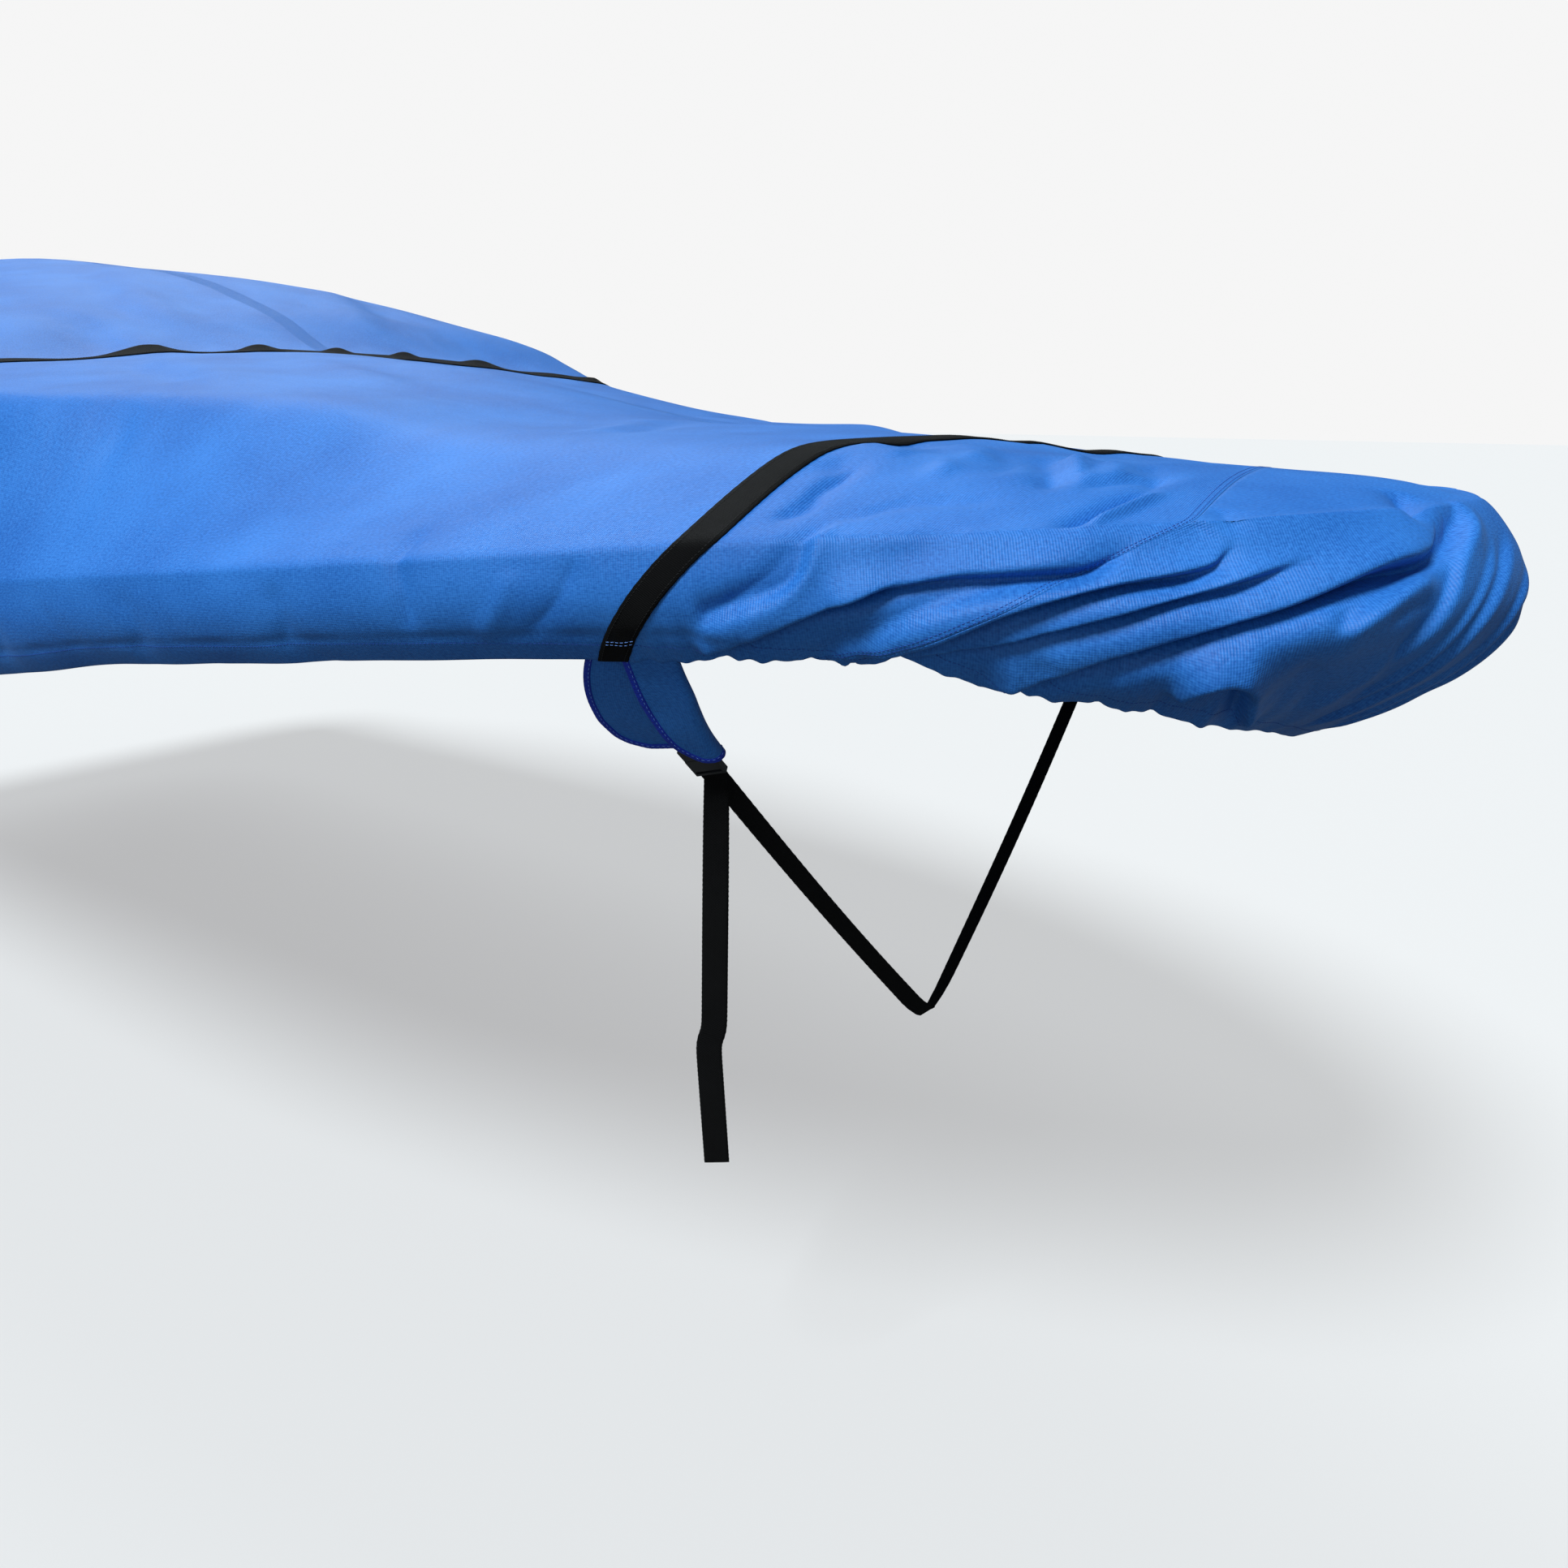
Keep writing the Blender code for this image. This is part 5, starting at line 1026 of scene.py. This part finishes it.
def raise_relief(points, a, d, q, outward_sign, passes):
    """The grid with its folds: moved outwards, and along the cloth where a pleat laps over."""
    normal = grid_normals(points) * outward_sign
    flat = np.all(np.abs(normal) < 1e-9, axis=-1)
    if flat.any():
        normal[flat] = (0, 0, 1)
    height, shift = relief(a.ravel(), d.ravel(), q.ravel())
    fields = np.concatenate([height[:, None], shift], 1).reshape(a.shape + (3,))
    for _ in range(passes):
        fields[1:-1] = (fields[:-2] + 2 * fields[1:-1] + fields[2:]) / 4
        fields[:, 1:-1] = (fields[:, :-2] + 2 * fields[:, 1:-1] + fields[:, 2:]) / 4
    (a_row, a_col), (d_row, d_col), (p_row, p_col) = slopes(a), slopes(d), slopes(points)
    area = a_row * d_col - a_col * d_row
    area = np.where(np.abs(area) < 1e-9, 1e-9, area)[..., None]
    along_a = (p_row * d_col[..., None] - p_col * d_row[..., None]) / area
    along_d = (p_col * a_row[..., None] - p_row * a_col[..., None]) / area
    moved = points + normal * (fields[..., :1] + CLOTH / 2)
    return moved + unit(along_a, 1e-9) * fields[..., 1:2] + unit(along_d, 1e-9) * fields[..., 2:]


def add_hem(points, normal):
    """The cloth with its last column's hem turned in round a small fold and up inside."""
    edge, out = points[:, -1], normal[:, -1]
    down = unit(edge - points[:, -2], 1e-9)
    turned = [edge + down * HEM_TURN * math.sin(angle) - out * HEM_TURN * (1 - math.cos(angle))
              for angle in HEM_ANGLES]
    turned += [points[:, -1 - k] - out * 2 * HEM_TURN for k in HEM_COLUMNS]
    return np.concatenate([points, np.stack(turned, 1)], 1)


def fit_seam(cap, seam):
    """Moves the cap near its sewn edge onto the body's edge, fading over SEAM_BLEND."""
    fine = even_route(seam, 0.001)[0][0]
    edge = np.concatenate([cap[0, 1:][::-1], cap[:, 0], cap[-1, 1:]])
    shift = np.array([fine[np.linalg.norm(fine - place, axis=1).argmin()] - place for place in edge])
    flat = cap.reshape(-1, 3)
    moved = flat.copy()
    for start in range(0, len(flat), 2000):
        part = flat[start:start + 2000]
        distance = np.linalg.norm(edge[None] - part[:, None], axis=2)
        near = distance.argmin(axis=1)
        weight = np.clip(1 - distance[np.arange(len(part)), near] / SEAM_BLEND, 0, 1) ** 2
        moved[start:start + 2000] += shift[near] * weight[:, None]
    return moved.reshape(cap.shape)


def outward_sign(points, column):
    """Whether the grid's own normals point outwards, judged on its top."""
    return 1.0 if grid_normals(points)[len(points) // 2, column, 2] > 0 else -1.0


def uv_for(a, d, before, after):
    """The cloth's coordinates as UV, running on into the hem's extra columns."""
    past = np.concatenate([np.arange(before, 0, -1), np.zeros(a.shape[1]), np.arange(1, after + 1)])
    a, d = (np.pad(array, ((0, 0), (before, after)), mode="edge") for array in (a, d))
    return np.stack([a, d + HEM_UV_STEP * past], -1)


def cloth_piece(name, node, grid, sign, uv):
    cells = grid_cells(*grid.shape[:2])
    piece = mesh_piece(name, to_world(grid), cells[:, ::-1] if sign > 0 else cells, BLUE, uv, merge=1e-5)
    return tag(piece, node)


flat_body, body_a, body_d, body_q = body_patch()
OUT_BODY = outward_sign(flat_body, flat_body.shape[1] // 2)
flat_cap, cap_a, cap_d, cap_q = cap_patch()
OUT_CAP = outward_sign(flat_cap, CAP_DECK_ROWS // 2)
body = raise_relief(flat_body, body_a, body_d, body_q, OUT_BODY, BODY_SMOOTHING)
cap = fit_seam(raise_relief(flat_cap, cap_a, cap_d, cap_q, OUT_CAP, CAP_SMOOTHING), body[0])
body_normal, cap_normal = grid_normals(body) * OUT_BODY, grid_normals(cap) * OUT_CAP


def make_body():
    """The main panel, with a hem on both sides and its front edge turned in at the seam."""
    whole = add_hem(add_hem(body[:, ::-1], body_normal[:, ::-1])[:, ::-1], body_normal)
    lip = np.pad(body_normal[:1], ((0, 0), (HEM_ROWS, HEM_ROWS), (0, 0)), mode="edge")
    whole = np.concatenate([whole[:1] - lip * SEAM_LIP, whole], 0)
    uv = uv_for(body_a, body_d, HEM_ROWS, HEM_ROWS)
    uv = np.concatenate([uv[:1], uv], 0)
    piece = cloth_piece("cover_body_cloth", "cover_body", whole, OUT_BODY, uv)


def make_cap():
    """The bow panel, with a hem and its three sewn edges turned in at the seam."""
    whole = add_hem(cap, cap_normal)
    lip = np.pad(cap_normal, ((0, 0), (0, HEM_ROWS), (0, 0)), mode="edge")
    whole = np.concatenate([whole[:, :1] - lip[:, :1] * SEAM_LIP, whole], 1)
    lip = np.concatenate([lip[:, :1], lip], 1)
    first, last = whole[:1] - lip[:1] * SEAM_LIP, whole[-1:] - lip[-1:] * SEAM_LIP
    whole = np.concatenate([first, whole, last], 0)
    uv = np.pad(uv_for(cap_a, cap_d, 0, HEM_ROWS), ((1, 1), (1, 0), (0, 0)), mode="edge")
    piece = cloth_piece("bow_cap_cloth", "cover_bow_cap", whole, OUT_CAP, uv)

make_body()
make_cap()


# ---------------------------------------------------------------- webbing sewn over the top
def body_line(values, a_target):
    """The body grid interpolated at a distance along the crease, hem to hem."""
    a_line = np.abs(body_a[:, body_a.shape[1] // 2])
    order = np.argsort(a_line)
    k = np.clip(np.searchsorted(a_line[order], a_target) - 1, 0, len(order) - 2)
    low, high = order[k], order[k + 1]
    t = (a_target - a_line[low]) / (a_line[high] - a_line[low])
    return values[low] * (1 - t) + values[high] * t


def make_sewn_web(name, node, station, wobble, curl=None):
    """Webbing on the cloth, hem to hem, whose edges lie on two lines of the cloth."""
    a_front = CREASE.find(station - SEWN_WEB_WIDTH / 2)
    a_back = CREASE.find(station + SEWN_WEB_WIDTH / 2)
    shares = np.linspace(0, 1, WEB_CELLS + 1)
    lines = [body_line(values, a_front + (a_back - a_front) * t)
             for values in (body, body_normal) for t in shares]
    (_, *lines), run = even_route(lines[WEB_CELLS // 2], SEWN_STEP, *lines)
    across, upward = np.stack(lines[:len(shares)], 1), unit(np.stack(lines[len(shares):], 1))
    widthwise = unit(across[:, -1] - across[:, 0])
    across = across + (widthwise * wobble(run)[:, None])[:, None]
    if curl:
        across = across + upward * (curl(run)[:, None] * shares[None] ** CURL_POWER)[..., None]
    edge = widthwise * ripple(run, *SEWN_SERRATION)[:, None]
    across[:, 0] -= edge
    across[:, -1] += edge
    crown = EDGE_THIN * (1 - np.abs(2 * shares - 1) ** 6) * WEB
    top = across + upward * (SEWN_LIFT + WEB * (1 - EDGE_THIN) + crown[None, :, None])
    bottom = across + upward * SEWN_UNDER
    span = np.concatenate([shares, shares[::-1]]) * SEWN_WEB_WIDTH
    tag(strip_piece(name, np.concatenate([top, bottom[:, ::-1]], 1), run, span, BLACK), node)
    rows = [lifted(top[:, column], upward[:, column]) for column in (1, WEB_CELLS - 1)]
    stitches(name + "_stitching", rows, WEB_STITCH, BLACK_THREAD)
    rows = [lifted(top[k], upward[k]) for distance in (HEM_DEPTH, HEM_DEPTH + SEWN_HEM_GAP)
            for k in np.searchsorted(run, (distance, run[-1] - distance))]
    stitches(name + "_hem_stitching", rows, WEB_HEM_STITCH, PALE_THREAD)


make_sewn_web("bow_strap_web", "strap_bow", BOW_STRAP_STATION,
              lambda run: 0.0012 * np.sin(9 * run) + 0.0006 * np.sin(31 * run))
make_sewn_web("mid_strap_web", "strap_mid", MID_STRAP_STATION,
              lambda run: 0.004 * np.sin(13 * run + 1.0) + 0.002 * np.sin(37 * run),
              lambda run: 0.008 * np.clip(np.sin(27 * run + 3 * np.sin(5 * run)), 0, 1) ** 1.6)


# ---------------------------------------------------------------- seams and hem stitching
def level_line(points, normals, distance):
    """The line at a distance from a grid's first column, and its way up: one place on each row."""
    return [np.array([sample(row, knots, distance) for row, knots in zip(values, run_along(points, 1))])
            for values in (points, normals)]


def make_stitching():
    hems = ((body, body_normal), (body[:, ::-1], body_normal[:, ::-1]), (cap[:, ::-1], cap_normal[:, ::-1]))
    rows = [lifted(*level_line(points, normals, HEM_DEPTH)) for points, normals in hems]
    edge, up = (values[:SEAM_EDGE_ROWS].swapaxes(0, 1) for values in (body, body_normal))
    rows += [lifted(*level_line(edge, up, distance)) for distance in SEAM_STITCHES]
    stitches("cloth_stitching", rows, CLOTH_STITCH, BLUE_THREAD)


make_stitching()


# ---------------------------------------------------------------- tabs
def tab_grid(side):
    """The folded tab as a grid: back layer, fold and front layer across, from the hem down."""
    table = columns([(-row[0],) + row[1:] for row in TAB], TAB_COLUMNS)
    start, end = -TAB[0][0] - TAB_TOP, -TAB[-1][0]
    rows = []
    for share in np.linspace(0, 1, TAB_ROWS):
        depth = start + (end - start) * (1 - (1 - share) ** TAB_CROWD)
        fold, front, back, turn = (float(table[name](depth)) for name in TAB_COLUMNS[1:])
        places = [(back + (fold + turn - back) * k / TAB_FLAT_CELLS, 2 * turn) for k in range(TAB_FLAT_CELLS)]
        for angle in (math.pi * k / TAB_FOLD_CELLS for k in range(TAB_FOLD_CELLS + 1)):
            places.append((fold + turn - turn * math.sin(angle), turn + turn * math.cos(angle)))
        places += [(fold + turn + (front - fold - turn) * k / TAB_FLAT_CELLS, 0)
                   for k in range(1, TAB_FLAT_CELLS + 1)]
        rows.append([tab_place(s, -depth, inward) for s, inward in places])
    grid = np.array(rows)
    grid[..., 1] *= -side
    return grid


def thick_sheet(name, grid, normal, thickness, material, uv):
    """A closed sheet round a grid of points."""
    rows, across = grid.shape[:2]
    outer, inner = grid + normal * thickness / 2, grid - normal * thickness / 2
    points = np.concatenate([outer.reshape(-1, 3), inner.reshape(-1, 3)])
    cells = grid_cells(rows, across)
    count = rows * across
    faces = cells.tolist() + (cells[:, ::-1] + count).tolist()
    rim = list(range(across)) + [i * across + across - 1 for i in range(1, rows)]
    rim += [(rows - 1) * across + j for j in range(across - 2, -1, -1)]
    rim += [i * across for i in range(rows - 2, 0, -1)]
    for k, first in enumerate(rim):
        second = rim[(k + 1) % len(rim)]
        faces.append((second, first, first + count, second + count))
    return mesh_piece(name, to_world(points), faces, material, np.concatenate([uv.reshape(-1, 2)] * 2))


def make_tab(label, side):
    grid = tab_grid(side)
    normal = grid_normals(grid)
    run = run_along(grid, 1)
    uv = np.stack([run, np.repeat(-grid[:, :1, 2], grid.shape[1], 1)], -1)
    wave = TAB_RIPPLE * np.sin(90 * grid[..., 2] + 60 * run) * np.sin(25 * run)
    grid = grid + normal * wave[..., None]
    piece = thick_sheet("tab_cloth_" + label, grid, normal, TAB_CLOTH, BLUE, uv)
    tag(piece, "tab_" + label)
    make_binding(label, grid, normal)


def make_binding(label, grid, normal):
    """Binding tape folded over the tab's free edge, with its rows of pale stitches."""
    path, facing = (np.concatenate([values[:, 0], values[-1, 1:], values[-2::-1, -1]])
                    for values in (grid, normal))
    (path, facing), run = even_route(path, BINDING_STEP, facing)
    for _ in range(BINDING_SMOOTHING):
        for line in (path, facing):
            line[1:-1] = (line[:-2] + 2 * line[1:-1] + line[2:]) / 4
    facing = unit(facing)
    into = unit(np.cross(facing, unit(np.gradient(path, axis=0))))
    into *= math.copysign(1, float(np.dot(into[0], grid[0, 1] - grid[0, 0])))
    half, reach = CLOTH / 2 + BINDING_EASE + BINDING_WALL, BINDING_REACH
    nose = BINDING_EASE + BINDING_WALL
    face = [(reach, 0.35 * half), (reach - 0.0004, 0.80 * half), (reach - 0.0012, 0.97 * half),
            (0.5 * reach, half), (0.001, half)]
    turns = [math.pi * k / 6 for k in range(1, 6)]
    profile = face + [(0.0004 - nose * math.sin(turn), half * math.cos(turn)) for turn in turns]
    profile += [(x, -y) for x, y in reversed(face)]
    swell = 1 + ripple(run, BINDING_RIPPLE, BINDING_RIPPLE_PITCH)
    rings = np.stack([path + into * x + facing * (y * swell)[:, None] for x, y in profile], 1)
    span = np.linspace(0, BINDING_SPAN, len(profile))
    tag(strip_piece("binding_tape_" + label, rings, run, span, TRIM), "binding_" + label)
    rows = [lifted(path + into * (reach - 0.0018) + facing * (sign * half * 0.98), facing * sign, 0)
            for sign in (1, -1)]
    stitches("binding_stitching_" + label, rows, BINDING_STITCH, PALE_THREAD)

for label, side in (("stbd", -1), ("port", 1)):
    make_tab(label, side)


# ---------------------------------------------------------------- kept solids get better materials
for node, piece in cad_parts.items():
    for kinds, material in ((("ladder", "socket"), PLASTIC), (("hanger",), BLACK)):
        if node.startswith(kinds):
            for slot in piece.material_slots:
                slot.material = material


# ---------------------------------------------------------------- floor and light
FLOOR_SIZE, FLOOR_HEIGHT = 40.0, -1.56
FLOOR_GLOW, FLOOR_BOUNCE = 0.47, 0.13   # what the camera sees of the floor, and what lights the cover
WALL_GLOW, SKY_GLOW = 0.92, 0.15        # and the same for the wall
LIGHT_DISTANCE = 6
LIGHTS = (
    # name, azimuth, elevation, angle, power
    ("key", 272, 55, 22, 3.9),
    ("back", 152, 48, 40, 1.3),
    ("fill", 292, 2, 60, 0.55),
)


def seen_apart(tree, lit, seen, output):
    """Gives the camera one shader and every other ray another."""
    pick, ray = new(tree, "ShaderNodeMixShader"), new(tree, "ShaderNodeLightPath")
    tree.links.new(ray.outputs["Is Camera Ray"], pick.inputs[0])
    tree.links.new(lit.outputs[0], pick.inputs[1])
    tree.links.new(seen.outputs[0], pick.inputs[2])
    tree.links.new(pick.outputs[0], tree.nodes[output].inputs[0])


def make_floor():
    mesh = bpy.data.meshes.new("floor")
    corners = ((-1, -1), (1, -1), (1, 1), (-1, 1))
    mesh.from_pydata([(x * FLOOR_SIZE, y * FLOOR_SIZE, FLOOR_HEIGHT) for x, y in corners], [], [(0, 1, 2, 3)])
    floor = bpy.data.objects.new("floor", mesh)
    bpy.context.scene.collection.objects.link(floor)
    material, tree, shader = nodes_of("pale floor", (0.30, 0.30, 0.30), 0.9)
    shader.inputs["Specular IOR Level"].default_value = 0.0
    shader.inputs["Emission Color"].default_value = (1.0, 1.0, 1.0, 1)
    shader.inputs["Emission Strength"].default_value = FLOOR_GLOW
    bounce = new(tree, "ShaderNodeBsdfDiffuse")
    bounce.inputs[0].default_value = (FLOOR_BOUNCE, FLOOR_BOUNCE, FLOOR_BOUNCE, 1)
    seen_apart(tree, bounce, shader, "Material Output")
    mesh.materials.append(material)


def make_world():
    world = bpy.data.worlds.new("studio")
    world.use_nodes = True
    tree = world.node_tree
    sky, wall = tree.nodes["Background"], new(tree, "ShaderNodeBackground")
    glows = ((sky, (0.75, 0.88, 1.0, 1), SKY_GLOW), (wall, (1.0, 1.0, 1.0, 1), WALL_GLOW))
    for background, colour, glow in glows:
        background.inputs[0].default_value = colour
        background.inputs[1].default_value = glow
    seen_apart(tree, sky, wall, "World Output")
    bpy.context.scene.world = world


def make_lights():
    for name, azimuth, elevation, angle, power in LIGHTS:
        light = bpy.data.lights.new(name, "SUN")
        light.angle = math.radians(angle)
        light.energy = power
        light.color = (0.90, 0.97, 1.0)
        holder = bpy.data.objects.new(name, light)
        turn, rise = math.radians(azimuth), math.radians(elevation)
        towards = Vector((math.cos(turn) * math.cos(rise), math.sin(turn) * math.cos(rise), math.sin(rise)))
        holder.rotation_euler = towards.to_track_quat("Z", "Y").to_euler()
        holder.location = towards * LIGHT_DISTANCE
        bpy.context.scene.collection.objects.link(holder)

make_floor()
make_world()
make_lights()
bpy.context.scene.view_settings.view_transform = "Standard"
bpy.context.scene.view_settings.look = "None"
